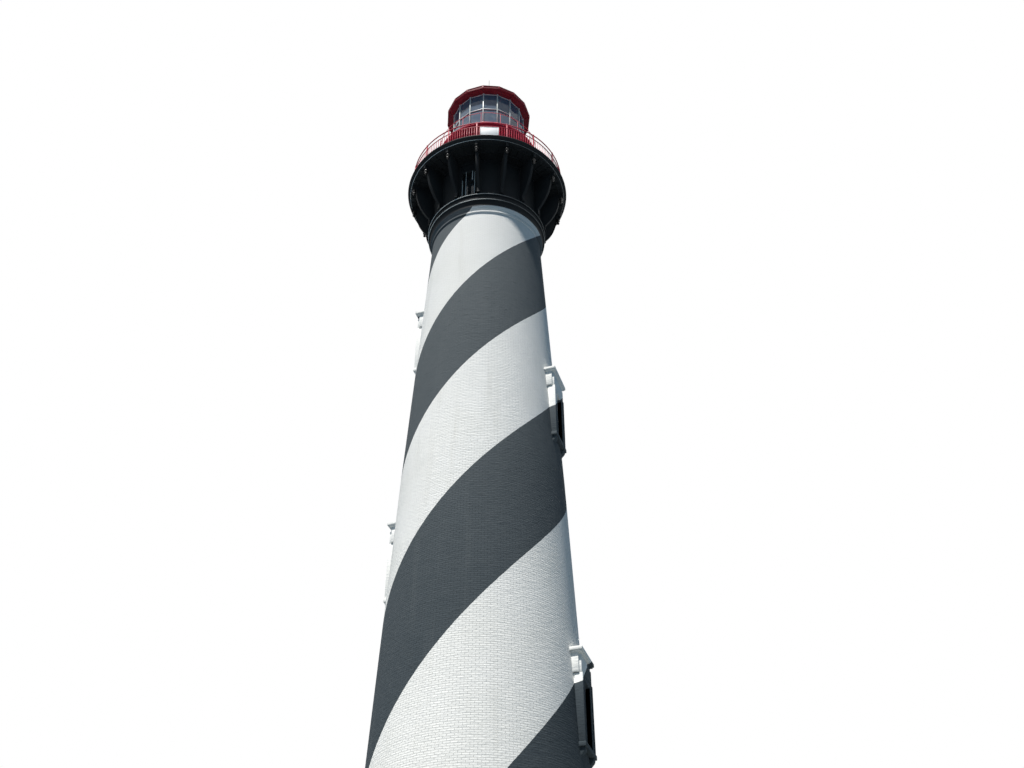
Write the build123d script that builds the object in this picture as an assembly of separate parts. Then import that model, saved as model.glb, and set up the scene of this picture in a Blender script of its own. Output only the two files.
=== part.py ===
from build123d import *

import os
from math import cos, radians, sin, sqrt

# A round masonry lighthouse with a gallery and a glazed lantern, as a half-size model.
# Every length is half the real one, in millimetres. +Z is up from the ground.
# The origin is the middle of the plinth's foot. The window faces look along +X and -X,
# and the entrance and the service room's window look along -Y.

# The pattern that the brackets, railing bays and lantern panes share
bays = 16
wall_segments = 8

# Shaft: three lifts, each battered a little more than the one below it
foot_radius = 2013
lower_joint_radius = 1798
upper_joint_radius = 1532
neck_radius = 1197
foot_wall = 750
neck_wall = 250
lower_lift_height = 6200
middle_lift_height = 6100
upper_lift_height = 6330
neck_ring_height = 50
neck_ring_slope = 10
neck_ring_projection = 26
collar_height = 170
collar_foot_projection = 6.5
collar_flare = 55

# Plinth, ground floor and steps
plinth_margin = 162
plinth_height = 300
plinth_chamfer = 45
floor_thickness = 75
step_margin = 30
step_tread = 150
step_count = 3

# Windows up the shaft, placed by the rise of the hood's top above each lift's foot
east_window_rises = [2650, 2475, 2325]
west_window_rises = [5650, 5500, 4640]
window_width = 330
window_height = 1050
window_projection = 130
window_bed = 40
surround_border = 135
lintel_height = 85
frieze_overhang = 30
frieze_height = 330
frieze_setback = 40
hood_overhang = 45
hood_thickness = 85
hood_projection = 40
sill_overhang = 30
sill_thickness = 75
sill_projection = 22
console_width = 110
console_height = 150
console_foot = 35
sash_setback = 100
sash_thickness = 40
sash_border = 34
sash_bar = 14
sash_columns = 2
sash_rows = 4
glass_thickness = 6

# Entrance
door_width = 600
door_height = 1200
door_projection = 110
door_surround_border = 150
door_head_height = 210
door_hood_overhang = 60
door_hood_thickness = 90
door_hood_projection = 60
door_setback = 150
door_thickness = 50
door_panel_border = 80
door_panel_depth = 14
door_lock_rail_top = 504

# Black cornice under the service room
cornice_cove_height = 150
cornice_cove_fall = 60
cornice_cove_projection = 8
cornice_lip_height = 40
cornice_band_height = 120
cornice_top_lip_height = 50
cornice_band_projection = 26
cornice_lip_projection = 53
cornice_top_lip_projection = 66

# Service room
service_setback = 27
service_height = 1190
service_wall = 150
service_window_width = 330
service_window_height = 780
service_window_sill = 20
service_transom_drop = 250
service_frame_border = 24
service_frame_projection = 34
service_frame_depth = 70
service_mullion = 16

# Gallery
deck_radius = 1840
deck_thickness = 100
deck_lip_height = 22
deck_lip_setback = 65
deck_band_setback = 14
bracket_thickness = 60
bracket_setback = 75
bracket_end_depth = 120
bracket_foot_reach = 110
bracket_foot_height = 170
bracket_hollow = 92
drop_inset = 48
drop_profile = [(22, 0), (22, 22), (44, 54), (44, 68), (18, 112), (32, 144), (18, 169), (0, 180)]
rail_setback = 115
post_size = 26
post_rise = 15
top_rail_height = 580
top_rail_diameter = 26
second_rail_height = 445
bottom_rail_height = 40
flat_rail_height = 12
flat_rail_depth = 18
balusters_per_bay = 11
baluster_size = 10
board_width = 410
board_height = 275
board_thickness = 10
board_bottom = 130
board_bay = -3

# Watch room
watch_setback = 225
watch_height = 1250
watch_wall = 125
watch_door_width = 330
watch_door_height = 900
watch_door_setback = 30
watch_door_thickness = 30

# Lantern
lantern_deck_thickness = 60
lantern_deck_overhang = 190
lantern_rail_setback = 30
lantern_rail_height = 385
lantern_post_size = 16
lantern_rail_diameter = 14
lantern_corner_radius = 880
parapet_height = 384
parapet_thickness = 45
sill_ring_height = 24
sill_ring_overhang = 22
glazing_height = 1102
mullion_width = 32
mullion_depth = 50
glazing_bar_rise = 529
glazing_bar_size = 22
pane_thickness = 6
soffit_rise = 46
soffit_overhang = 152
soffit_ledge = 100
gutter_height = 85
gutter_width = 22
roof_rise = 560
roof_top_radius = 150
vent_neck_radius = 95
vent_neck_height = 110
vent_ball_radius = 165
rod_radius = 9
rod_length = 681
rod_collar_radius = 26
rod_collar_height = 60

# Angles of the pattern
bay_angle = 360 / bays
corner_angle = bay_angle / 2
segment_angle = 360 / wall_segments

# Radii worked out from the sizes above
foot_inner_radius = foot_radius - foot_wall
neck_inner_radius = neck_radius - neck_wall
plinth_radius = foot_radius + plinth_margin
collar_radius = neck_radius + collar_flare
service_radius = collar_radius - service_setback
bracket_outer = deck_radius - bracket_setback
rail_radius = deck_radius - rail_setback
watch_radius = service_radius - watch_setback
lantern_deck_radius = watch_radius + lantern_deck_overhang
lantern_rail_radius = lantern_deck_radius - lantern_rail_setback
eave_radius = lantern_corner_radius + soffit_overhang

# Heights worked out from the ground up
floor_top = plinth_height + floor_thickness
lower_joint_height = plinth_height + lower_lift_height
upper_joint_height = lower_joint_height + middle_lift_height
neck_height = upper_joint_height + upper_lift_height
collar_top = neck_height + collar_height
cove_top = collar_top + cornice_cove_height
lip_top = cove_top + cornice_lip_height
band_top = lip_top + cornice_band_height
cornice_top = band_top + cornice_top_lip_height
deck_underside = cornice_top + service_height
deck_top = deck_underside + deck_thickness
lantern_deck_height = deck_top + watch_height
lantern_floor = lantern_deck_height + lantern_deck_thickness
parapet_top = lantern_floor + parapet_height
glazing_bottom = parapet_top + sill_ring_height
glazing_top = glazing_bottom + glazing_height
eave_height = glazing_top + soffit_rise
roof_base = eave_height + gutter_height

# Widths worked out from the openings they frame
surround_width = window_width + 2 * surround_border
surround_height = window_height + lintel_height
frieze_width = surround_width + 2 * frieze_overhang
hood_width = frieze_width + 2 * hood_overhang
sill_width = surround_width + 2 * sill_overhang
door_surround_width = door_width + 2 * door_surround_border
door_hood_width = door_surround_width + 2 * door_hood_overhang
step_half_width = door_surround_width / 2 + step_margin


def block(x0, x1, y0, y1, z0, z1):
    """A plain block between two corners."""
    size = (x1 - x0, y1 - y0, z1 - z0)
    return Pos((x0 + x1) / 2, (y0 + y1) / 2, (z0 + z1) / 2) * Box(*size)


def turned(shape, angle):
    """The shape turned about the tower's axis."""
    return Rot(0, 0, angle) * shape


def disc(radius, z0, z1):
    """A round slab on the tower's axis."""
    return Pos(0, 0, z0) * Cylinder(radius, z1 - z0, align=(Align.CENTER, Align.CENTER, Align.MIN))


def ring(points, arc=360, start=0):
    """A closed outline of (radius, height) points revolved about the tower's axis."""
    outline = Polyline(*[(r, 0, z) for r, z in points], close=True)
    return turned(revolve(make_face(outline), axis=Axis.Z, revolution_arc=arc), start)


def prism(radius, z0, z1, top_radius=None):
    """A solid with one flat per bay, its corners over the brackets."""
    low = Plane.XY.offset(z0) * RegularPolygon(radius, bays, rotation=corner_angle)
    if top_radius is None:
        return extrude(low, z1 - z0)
    high = Plane.XY.offset(z1) * RegularPolygon(top_radius, bays, rotation=corner_angle)
    return loft([low, high])


def at_corners(shape):
    """Copies of a piece built towards +X, one over each bracket."""
    return [turned(shape, corner_angle + i * bay_angle) for i in range(bays)]


def at_bays(shape):
    """Copies of a piece built towards +X, one in each bay."""
    return [turned(shape, i * bay_angle) for i in range(bays)]


def save(name, shapes):
    """Write one node's solids to its file."""
    solids = [solid for shape in shapes for solid in shape.solids()]
    export_step(Compound(children=solids), f"parts/{name}.step")


os.makedirs("parts", exist_ok=True)

# The shaft's lifts, each from one height and outer radius to the next
lifts = [
    ((plinth_height, foot_radius), (lower_joint_height, lower_joint_radius)),
    ((lower_joint_height, lower_joint_radius), (upper_joint_height, upper_joint_radius)),
    ((upper_joint_height, upper_joint_radius), (neck_height, neck_radius)),
]


def shaft_radius(height):
    """The shaft's outer radius at a height."""
    for (low, low_radius), (high, high_radius) in lifts:
        if height <= high:
            break
    return low_radius + (high_radius - low_radius) * (height - low) / (high - low)


def inner_radius(height):
    """The shaft's inner radius at a height, on its straight batter."""
    share = (height - plinth_height) / (neck_height - plinth_height)
    return foot_inner_radius + (neck_inner_radius - foot_inner_radius) * share


def lift_points(lift):
    """Half of one lift's section, with the neck ring and the flared collar on the last."""
    (low, low_radius), (high, high_radius) = lift
    points = [(inner_radius(low), low), (low_radius, low), (high_radius, high)]
    if high < neck_height:
        return points + [(inner_radius(high), high)]
    ring_radius = neck_radius + neck_ring_projection
    ring_top = neck_height + neck_ring_height
    return points + [
        (ring_radius, neck_height + neck_ring_slope),
        (ring_radius, ring_top),
        (neck_radius + collar_foot_projection, ring_top),
        (collar_radius, collar_top),
        (neck_inner_radius, collar_top),
        (neck_inner_radius, neck_height),
    ]


def window_seat(top):
    """How far out a window's pieces start: just inside the wall's face at the hood's ends."""
    return sqrt(shaft_radius(top) ** 2 - (hood_width / 2) ** 2) - window_bed


def window_face(top):
    """How far out a window surround's flat front stands."""
    return shaft_radius(top) + window_projection


def window_hood(top):
    """The hood: a projecting cap over a frieze block."""
    seat, face = window_seat(top), window_face(top)
    cap_bottom = top - hood_thickness
    frieze_bottom = cap_bottom - frieze_height
    cap = block(seat, face + hood_projection, -hood_width / 2, hood_width / 2, cap_bottom, top)
    side = frieze_width / 2
    frieze = block(seat, face - frieze_setback, -side, side, frieze_bottom, cap_bottom)
    front = surround_width / 2
    board = block(seat, face, -front, front, frieze_bottom, cap_bottom - hood_thickness)
    return cap + frieze + board


def surround_top(top):
    """The height where the window surround meets the hood."""
    return top - hood_thickness - frieze_height


def window_sill_top(top):
    """The height of the sill's top, where the window opening starts."""
    return surround_top(top) - surround_height


def window_opening(top, x0, x1):
    """The clear window opening from one depth to another."""
    low = window_sill_top(top)
    side = window_width / 2
    return block(x0, x1, -side, side, low, low + window_height)


def window_bed_block(top):
    """The whole block of a window surround, from its bed in the wall."""
    side = surround_width / 2
    return block(
        window_seat(top), window_face(top), -side, side, window_sill_top(top), surround_top(top)
    )


def window_surround(top):
    """The projecting surround with the opening through it."""
    opening = window_opening(top, window_seat(top) - window_bed, window_face(top) + window_bed)
    return window_bed_block(top) - opening


def window_foot(top):
    """The height of the consoles' feet, the lowest point of a window's stonework."""
    return window_sill_top(top) - sill_thickness - console_height


def window_sill(top):
    """The sill slab on its two tapered consoles."""
    seat, face = window_seat(top), window_face(top)
    high = window_sill_top(top)
    low = high - sill_thickness
    side = sill_width / 2
    slab = block(seat, face + sill_projection, -side, side, low, high)
    wall_below = shaft_radius(low - console_height)
    outline = Polyline(
        (seat, 0, low),
        (face, 0, low),
        (face, 0, low - console_foot),
        (wall_below - console_foot, 0, low - console_height),
        (seat, 0, low - console_height),
        close=True,
    )
    console = extrude(make_face(outline), console_width / 2, both=True)
    place = surround_width / 2 - console_width / 2
    return slab + Pos(0, place, 0) * console + Pos(0, -place, 0) * console


def window_sash(top):
    """The timber window: a frame with glazing bars."""
    outside = window_face(top) - sash_setback
    inside = outside - sash_thickness
    low = window_sill_top(top)
    frame = block(inside, outside, -window_width / 2, window_width / 2, low, low + window_height)
    clear_width = window_width - 2 * sash_border - (sash_columns - 1) * sash_bar
    clear_height = window_height - 2 * sash_border - (sash_rows - 1) * sash_bar
    pane_width = clear_width / sash_columns
    pane_height = clear_height / sash_rows
    for column in range(sash_columns):
        for row in range(sash_rows):
            y = -window_width / 2 + sash_border + column * (pane_width + sash_bar)
            z = low + sash_border + row * (pane_height + sash_bar)
            frame -= block(inside, outside, y, y + pane_width, z, z + pane_height)
    return frame


def window_glass(top):
    """The sheet of glass behind the sash."""
    outside = window_face(top) - sash_setback - sash_thickness
    low = window_sill_top(top)
    side = window_width / 2 - sash_border / 2
    edge = sash_border / 2
    return block(outside - glass_thickness, outside, -side, side, low + edge, low + window_height - edge)


# Plinth with a flat seat for the steps
step_seat = sqrt(plinth_radius**2 - step_half_width**2)
step_reach = step_seat + step_count * step_tread
plinth = disc(plinth_radius, 0, plinth_height)
plinth = chamfer(plinth.faces().sort_by(Axis.Z)[-1].edges(), plinth_chamfer)
plinth -= block(
    -step_half_width, step_half_width, -step_reach, -step_seat + plinth_chamfer, 0, plinth_height
)
save("base_plinth", [plinth])

# Entrance steps, one solid flight with level treads
step_inner = -step_seat + plinth_chamfer
riser = plinth_height / step_count
flight = block(-step_half_width, step_half_width, -step_seat - step_tread, step_inner, 0, plinth_height)
for i in range(1, step_count):
    outer = -step_seat - (i + 1) * step_tread
    inner = -step_seat - i * step_tread
    flight += block(-step_half_width, step_half_width, outer, inner, 0, plinth_height - i * riser)
save("entry_steps", [flight])

# Ground floor slab inside the wall
floor_points = [
    (0, plinth_height),
    (foot_inner_radius, plinth_height),
    (inner_radius(floor_top), floor_top),
    (0, floor_top),
]
save("ground_floor", [ring(floor_points)])

# Door surround, leaf and the passage through the wall, built towards +X and turned to -Y
door_face = foot_radius + door_projection
door_seat = sqrt(shaft_radius(floor_top + door_height) ** 2 - (door_hood_width / 2) ** 2) - window_bed
door_top = floor_top + door_height
door_hood_bottom = door_top + door_head_height
door_hood_top = door_hood_bottom + door_hood_thickness
half_door = door_width / 2
door_body = block(
    door_seat, door_face, -door_surround_width / 2, door_surround_width / 2, plinth_height, door_hood_bottom
)
door_hood = block(
    door_seat, door_face + door_hood_projection,
    -door_hood_width / 2, door_hood_width / 2, door_hood_bottom, door_hood_top,
)
door_mass = door_body + door_hood
door_clear = block(0, door_face + window_bed, -half_door, half_door, floor_top, door_top)
save("door_surround", [turned(door_mass - door_clear, -90)])

leaf_outside = door_face - door_setback
leaf_inside = leaf_outside - door_thickness
leaf = block(leaf_inside, leaf_outside, -half_door, half_door, floor_top, door_top)
panel_side = half_door - door_panel_border
panel_split = floor_top + door_lock_rail_top
for low, high in ((floor_top, panel_split), (panel_split - door_panel_border, door_top)):
    leaf -= block(
        leaf_outside - door_panel_depth, leaf_outside, -panel_side, panel_side,
        low + door_panel_border, high - door_panel_border,
    )
save("door_leaf", [turned(leaf, -90)])

# Windows: each piece of all the windows is one node
windows = []
for lift, east_rise, west_rise in zip(lifts, east_window_rises, west_window_rises):
    lift_foot = lift[0][0]
    windows += [(lift_foot + east_rise, 0), (lift_foot + west_rise, 180)]
save("window_hoods", [turned(window_hood(top), turn) for top, turn in windows])
save("window_surrounds", [turned(window_surround(top), turn) for top, turn in windows])
save("window_sills", [turned(window_sill(top), turn) for top, turn in windows])
save("window_sashes", [turned(window_sash(top), turn) for top, turn in windows])
save("window_glass", [turned(window_glass(top), turn) for top, turn in windows])

# Shaft wall: each lift in eight segments, with the openings and their beds cut out
for number, lift in enumerate(lifts, 1):
    low, high = lift[0][0], lift[1][0]
    segment = ring(lift_points(lift), segment_angle, -segment_angle / 2)
    faces = []
    for turn in (0, 90, 180, 270):
        wall = segment
        for top, window_turn in windows:
            if window_turn == turn and low < top and window_foot(top) < high:
                wall = wall - window_bed_block(top) - window_hood(top) - window_sill(top)
                wall = wall - window_opening(top, 0, window_face(top))
        if turn == 270 and low < door_hood_top:
            wall = wall - door_body - door_hood - door_clear
        faces.append(turned(wall, turn))
    save(f"shaft_lift_{number}_face_segments", faces)
    corners = [turned(segment, 45 + turn) for turn in (0, 90, 180, 270)]
    save(f"shaft_lift_{number}_corner_segments", corners)

# Cornice: a cove, a thin lip, a band and a top lip
cornice_band_radius = collar_radius + cornice_band_projection
cornice_lip_radius = collar_radius + cornice_lip_projection
cornice_top_lip_radius = collar_radius + cornice_top_lip_projection
cornice_points = [
    (neck_inner_radius, collar_top),
    (collar_radius, collar_top),
    (collar_radius + cornice_cove_projection, cove_top - cornice_cove_fall),
    (cornice_band_radius, cove_top),
    (cornice_lip_radius, cove_top),
    (cornice_lip_radius, lip_top),
    (cornice_band_radius, lip_top),
    (cornice_band_radius, band_top),
    (cornice_top_lip_radius, band_top),
    (cornice_top_lip_radius, cornice_top),
    (neck_inner_radius, cornice_top),
]
save("cornice", [ring(cornice_points)])
save("service_floor", [disc(neck_inner_radius, collar_top, cornice_top)])

# Service room wall in eight segments, with its window cut through the front one
service_inner = service_radius - service_wall
service_points = [
    (service_inner, cornice_top),
    (service_radius, cornice_top),
    (service_radius, deck_underside),
    (service_inner, deck_underside),
]
service_segment = ring(service_points, segment_angle, -segment_angle / 2)
service_low = cornice_top + service_window_sill
service_high = service_low + service_window_height
service_side = service_window_width / 2
service_clear = block(0, deck_radius, -service_side, service_side, service_low, service_high)
service_faces = [turned(service_segment, turn) for turn in (0, 90, 180)]
service_faces.append(turned(service_segment - service_clear, 270))
save("service_wall_face_segments", service_faces)
save("service_wall_corner_segments", [turned(service_segment, 45 + turn) for turn in (0, 90, 180, 270)])

# Service room window: a frame that stands proud of the wall, with a mullion and a transom
frame_face = service_radius + service_frame_projection
frame_back = frame_face - service_frame_depth - service_frame_projection
frame_side = service_side
service_frame = block(frame_back, frame_face, -frame_side, frame_side, service_low, service_high)
clear_side = frame_side - service_frame_border
clear_low = service_low + service_frame_border
clear_high = service_high - service_frame_border
service_frame -= block(frame_back, frame_face, -clear_side, clear_side, clear_low, clear_high)
transom = service_high - service_transom_drop
middle = block(
    frame_back, frame_back + service_frame_border, -service_mullion / 2, service_mullion / 2,
    clear_low, clear_high,
)
cross = block(
    frame_back, frame_back + service_frame_border, -clear_side, clear_side,
    transom - service_mullion / 2, transom + service_mullion / 2,
)
save("service_window_frame", [turned(service_frame + middle + cross, -90)])
service_glass = block(
    frame_back - glass_thickness, frame_back, -clear_side - glass_thickness, clear_side + glass_thickness,
    clear_low - glass_thickness, clear_high + glass_thickness,
)
save("service_window_glass", [turned(service_glass, -90)])

# Gallery brackets: a plate with a concave lower edge, from the cornice to the deck's rim
drop_place = bracket_outer - drop_inset
seat_inner = bracket_outer - 2 * drop_inset
foot_out = service_radius + bracket_foot_reach
end_low = deck_underside - bracket_end_depth
foot_high = cornice_top + bracket_foot_height
bracket_edge = Polyline(
    (foot_out, 0, foot_high),
    (foot_out, 0, cornice_top),
    (0, 0, cornice_top),
    (0, 0, deck_underside),
    (bracket_outer, 0, deck_underside),
    (bracket_outer, 0, end_low),
    (seat_inner, 0, end_low),
)
chord_out = seat_inner - foot_out
chord_up = end_low - foot_high
chord = sqrt(chord_out**2 + chord_up**2)
hollow_out = (seat_inner + foot_out) / 2 - bracket_hollow * chord_up / chord
hollow_up = (end_low + foot_high) / 2 + bracket_hollow * chord_out / chord
bracket_curve = ThreePointArc(
    (seat_inner, 0, end_low),
    (hollow_out, 0, hollow_up),
    (foot_out, 0, foot_high),
)
bracket = extrude(make_face(bracket_edge + bracket_curve), bracket_thickness / 2, both=True)
bracket = bracket - disc(service_radius, cornice_top, deck_underside)
save("gallery_brackets", at_corners(bracket))

# Double knobs that hang under the brackets' outer ends
drop_points = [(0, end_low)] + [(radius, end_low - depth) for radius, depth in drop_profile]
drop = Pos(drop_place, 0, 0) * ring(drop_points)
save("bracket_drops", at_corners(drop))

# Gallery deck with an edge that slopes in to a lower lip, and the watch room floor inside it
watch_inner = watch_radius - watch_wall
deck_lip_radius = deck_radius - deck_lip_setback
deck_points = [
    (watch_inner, deck_underside),
    (deck_lip_radius, deck_underside),
    (deck_lip_radius, deck_underside + deck_lip_height),
    (deck_lip_radius - deck_band_setback, deck_underside + deck_lip_height),
    (deck_radius - deck_band_setback, deck_top - deck_lip_height),
    (deck_radius, deck_top - deck_lip_height),
    (deck_radius, deck_top),
    (watch_inner, deck_top),
]
save("gallery_deck", [ring(deck_points)])
save("watch_floor", [disc(watch_inner, deck_underside, deck_top)])

# Gallery railing: a post over each bracket, with a baluster panel and a top rail between posts
post_half = post_size / 2
post = block(
    rail_radius - post_half, rail_radius + post_half, -post_half, post_half,
    deck_top, deck_top + top_rail_height + post_rise,
)
save("railing_posts", at_corners(post))


def between_posts(shape, half_post):
    """The part of a bay's piece that lies between the posts at its two ends."""
    far = deck_radius
    low, high = deck_underside, roof_base
    for side in (-1, 1):
        near, beyond = sorted((-side * half_post, side * far))
        shape = shape - turned(block(0, far, near, beyond, low, high), side * corner_angle)
    return shape


def flat_rail(height):
    """A flat rail bar bent to the deck's round, from corner to corner."""
    inner = rail_radius - flat_rail_depth / 2
    outer = rail_radius + flat_rail_depth / 2
    low, high = height - flat_rail_height / 2, height + flat_rail_height / 2
    return ring([(inner, low), (outer, low), (outer, high), (inner, high)], bay_angle, -corner_angle)


panel = flat_rail(deck_top + second_rail_height) + flat_rail(deck_top + bottom_rail_height)
half_bar = baluster_size / 2
baluster_angle = bay_angle / (balusters_per_bay + 1)
for i in range(balusters_per_bay):
    bar = block(
        rail_radius - half_bar, rail_radius + half_bar, -half_bar, half_bar,
        deck_top, deck_top + second_rail_height,
    )
    panel += turned(bar, (i + 1) * baluster_angle - corner_angle)
panel = between_posts(panel, post_half)
save("railing_panels", at_bays(panel))


def round_rail(radius, height, diameter):
    """A round rail bent to the tower's round, from corner to corner."""
    section = Pos(radius, 0, height) * (Plane.XZ * Circle(diameter / 2))
    return turned(revolve(section, axis=Axis.Z, revolution_arc=bay_angle), -corner_angle)


top_rail = round_rail(rail_radius, deck_top + top_rail_height, top_rail_diameter)
save("railing_top_rails", at_bays(between_posts(top_rail, post_half)))

# A plain board on the outside of one railing panel, held by the baluster next to the middle one
board_back = rail_radius + half_bar
board_angle = board_bay * bay_angle - baluster_angle
board = block(
    board_back, board_back + board_thickness, -board_width / 2, board_width / 2,
    deck_top + board_bottom, deck_top + board_bottom + board_height,
)
save("plain_board", [turned(board, board_angle)])

# Watch room wall in eight segments, with the gallery door in the back one
watch_points = [
    (watch_inner, deck_top),
    (watch_radius, deck_top),
    (watch_radius, lantern_deck_height),
    (watch_inner, lantern_deck_height),
]
watch_segment = ring(watch_points, segment_angle, -segment_angle / 2)
gallery_door_side = watch_door_width / 2
gallery_door_top = deck_top + watch_door_height
gallery_doorway = block(
    0, deck_radius, -gallery_door_side, gallery_door_side, deck_top, gallery_door_top
)
watch_faces = [turned(watch_segment, turn) for turn in (0, 180, 270)]
watch_faces.append(turned(watch_segment - gallery_doorway, 90))
save("watch_wall_face_segments", watch_faces)
save("watch_wall_corner_segments", [turned(watch_segment, 45 + turn) for turn in (0, 90, 180, 270)])
gallery_door_face = watch_radius - watch_door_setback
gallery_door = block(
    gallery_door_face - watch_door_thickness, gallery_door_face,
    -gallery_door_side, gallery_door_side, deck_top, gallery_door_top,
)
save("gallery_door", [turned(gallery_door, 90)])

# Lantern deck and its light railing
save("lantern_deck", [disc(lantern_deck_radius, lantern_deck_height, lantern_floor)])
lantern_post_half = lantern_post_size / 2
lantern_post = block(
    lantern_rail_radius - lantern_post_half, lantern_rail_radius + lantern_post_half,
    -lantern_post_half, lantern_post_half,
    lantern_floor, lantern_floor + lantern_rail_height + lantern_rail_diameter,
)
save("lantern_rail_posts", at_corners(lantern_post))
lantern_rail = round_rail(lantern_rail_radius, lantern_floor + lantern_rail_height, lantern_rail_diameter)
save("lantern_rails", at_bays(between_posts(lantern_rail, lantern_post_half)))

# Lantern parapet, and the sill ring on it
parapet = prism(lantern_corner_radius, lantern_floor, parapet_top)
parapet -= prism(lantern_corner_radius - parapet_thickness, lantern_floor, parapet_top)
save("lantern_parapet", [parapet])
sill_ring = prism(lantern_corner_radius + sill_ring_overhang, parapet_top, glazing_bottom)
sill_ring -= prism(lantern_corner_radius - parapet_thickness, parapet_top, glazing_bottom)
save("lantern_sill", [sill_ring])

# Lantern glazing: a mullion at each corner, and between them a pane with a bar across it
half_mullion = mullion_width / 2
mullion = block(
    lantern_corner_radius - mullion_depth, lantern_corner_radius, -half_mullion, half_mullion,
    glazing_bottom, glazing_top,
)
save("lantern_mullions", at_corners(mullion))
lantern_apothem = lantern_corner_radius * cos(radians(corner_angle))
lantern_half_side = lantern_corner_radius * sin(radians(corner_angle))
pane_face = lantern_apothem - mullion_depth / 2
pane = block(
    pane_face - pane_thickness, pane_face, -lantern_half_side, lantern_half_side,
    glazing_bottom, glazing_top,
)
pane = between_posts(pane, half_mullion)
save("lantern_glass", at_bays(pane))
half_glazing_bar = glazing_bar_size / 2
glazing_bar_height = glazing_bottom + glazing_bar_rise
glazing_bar = block(
    pane_face, pane_face + glazing_bar_size, -lantern_half_side, lantern_half_side,
    glazing_bar_height - half_glazing_bar, glazing_bar_height + half_glazing_bar,
)
save("lantern_bars", at_bays(between_posts(glazing_bar, half_mullion)))

# Roof: a soffit that flares out to the eave, the gutter, the low roof and the vent ball
soffit = prism(lantern_corner_radius, glazing_top, eave_height, eave_radius)
soffit -= disc(lantern_corner_radius - soffit_ledge, glazing_top, eave_height)
save("roof_soffit", [soffit])
save("roof_gutter", [prism(eave_radius, eave_height, roof_base)])
roof_top = roof_base + roof_rise
save("roof", [prism(eave_radius - gutter_width, roof_base, roof_top, roof_top_radius)])
neck_top = roof_top + vent_neck_height
neck_depth = sqrt(vent_ball_radius**2 - vent_neck_radius**2)
ball_centre = neck_top + neck_depth
rod_seat = ball_centre + sqrt(vent_ball_radius**2 - rod_collar_radius**2)
vent_ball = disc(vent_neck_radius, roof_top, neck_top)
vent_ball += Pos(0, 0, ball_centre) * Sphere(vent_ball_radius)
vent_ball -= disc(vent_ball_radius, rod_seat, rod_seat + rod_length)
save("vent_ball", [vent_ball])
rod = disc(rod_collar_radius, rod_seat, rod_seat + rod_collar_height)
rod += disc(rod_radius, rod_seat + rod_collar_height, rod_seat + rod_length)
save("lightning_rod", [rod])
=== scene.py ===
from math import asin, atan2, cos, pi, radians, sin, sqrt, tau

import bpy
from mathutils import Matrix, Vector


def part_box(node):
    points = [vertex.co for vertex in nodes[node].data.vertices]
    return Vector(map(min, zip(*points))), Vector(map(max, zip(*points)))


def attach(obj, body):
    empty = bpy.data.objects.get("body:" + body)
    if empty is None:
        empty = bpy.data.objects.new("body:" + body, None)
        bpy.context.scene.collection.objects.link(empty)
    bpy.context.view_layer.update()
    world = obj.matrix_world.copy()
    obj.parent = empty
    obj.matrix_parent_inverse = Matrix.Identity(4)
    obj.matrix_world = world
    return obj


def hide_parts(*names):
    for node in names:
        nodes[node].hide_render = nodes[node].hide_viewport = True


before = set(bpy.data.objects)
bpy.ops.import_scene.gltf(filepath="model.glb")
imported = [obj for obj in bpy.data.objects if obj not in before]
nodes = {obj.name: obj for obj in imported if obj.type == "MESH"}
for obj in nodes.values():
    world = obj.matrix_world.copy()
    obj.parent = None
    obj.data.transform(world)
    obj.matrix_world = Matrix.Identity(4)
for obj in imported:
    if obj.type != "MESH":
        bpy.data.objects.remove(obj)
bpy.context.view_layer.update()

# Plinth: the round base of the tower, of dressed stones laid in two courses with open joints. The
# upper course is weathered back at its top edge. They are bedded in mortar round a core of concrete.
plinth_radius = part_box("base_plinth")[1].x
plinth_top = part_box("base_plinth")[1].z
plinth_depth = 0.32
plinth_stones = 30
plinth_joint = 0.006
plinth_course = plinth_top * 0.52
plinth_weathering = 0.045
plinth_ease = 0.005
steps_half_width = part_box("entry_steps")[1].x


def fresh():
    """Object mode with nothing selected, ready for a new primitive."""
    if bpy.context.object and bpy.context.object.mode != "OBJECT":
        bpy.ops.object.mode_set(mode="OBJECT")
    bpy.ops.object.select_all(action="DESELECT")


def only(piece):
    """Make one piece the selected and active one."""
    fresh()
    piece.select_set(True)
    bpy.context.view_layer.objects.active = piece


def edit_all():
    """Edit mode on the active piece with its whole mesh selected."""
    bpy.ops.object.mode_set(mode="EDIT")
    bpy.ops.mesh.select_all(action="SELECT")


def close_up():
    """Weld doubles, turn the faces outwards and leave edit mode; the piece is given back."""
    bpy.ops.mesh.select_all(action="SELECT")
    bpy.ops.mesh.remove_doubles(threshold=0.00002)
    bpy.ops.mesh.normals_make_consistent(inside=False)
    bpy.ops.object.mode_set(mode="OBJECT")
    return bpy.context.object


def eased(piece, width, segments=2, angle=40):
    """Round the piece's edges that are sharper than an angle."""
    only(piece)
    bevel = piece.modifiers.new("eased", "BEVEL")
    bevel.width = width
    bevel.segments = segments
    bevel.limit_method = "ANGLE"
    bevel.angle_limit = radians(angle)
    bevel.use_clamp_overlap = True
    bpy.ops.object.modifier_apply(modifier=bevel.name)
    return piece


def smooth(piece, angle=35):
    """Smooth shading except over edges sharper than an angle."""
    only(piece)
    bpy.ops.object.shade_smooth_by_angle(angle=radians(angle))
    return piece


def frozen():
    """The active piece, with its place, turn and size set into its mesh."""
    bpy.ops.object.transform_apply(location=True, rotation=True, scale=True)
    return bpy.context.object


def moved(piece, place):
    """A piece with its mesh put in its place by a matrix."""
    piece.data.transform(place)
    return piece


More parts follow.
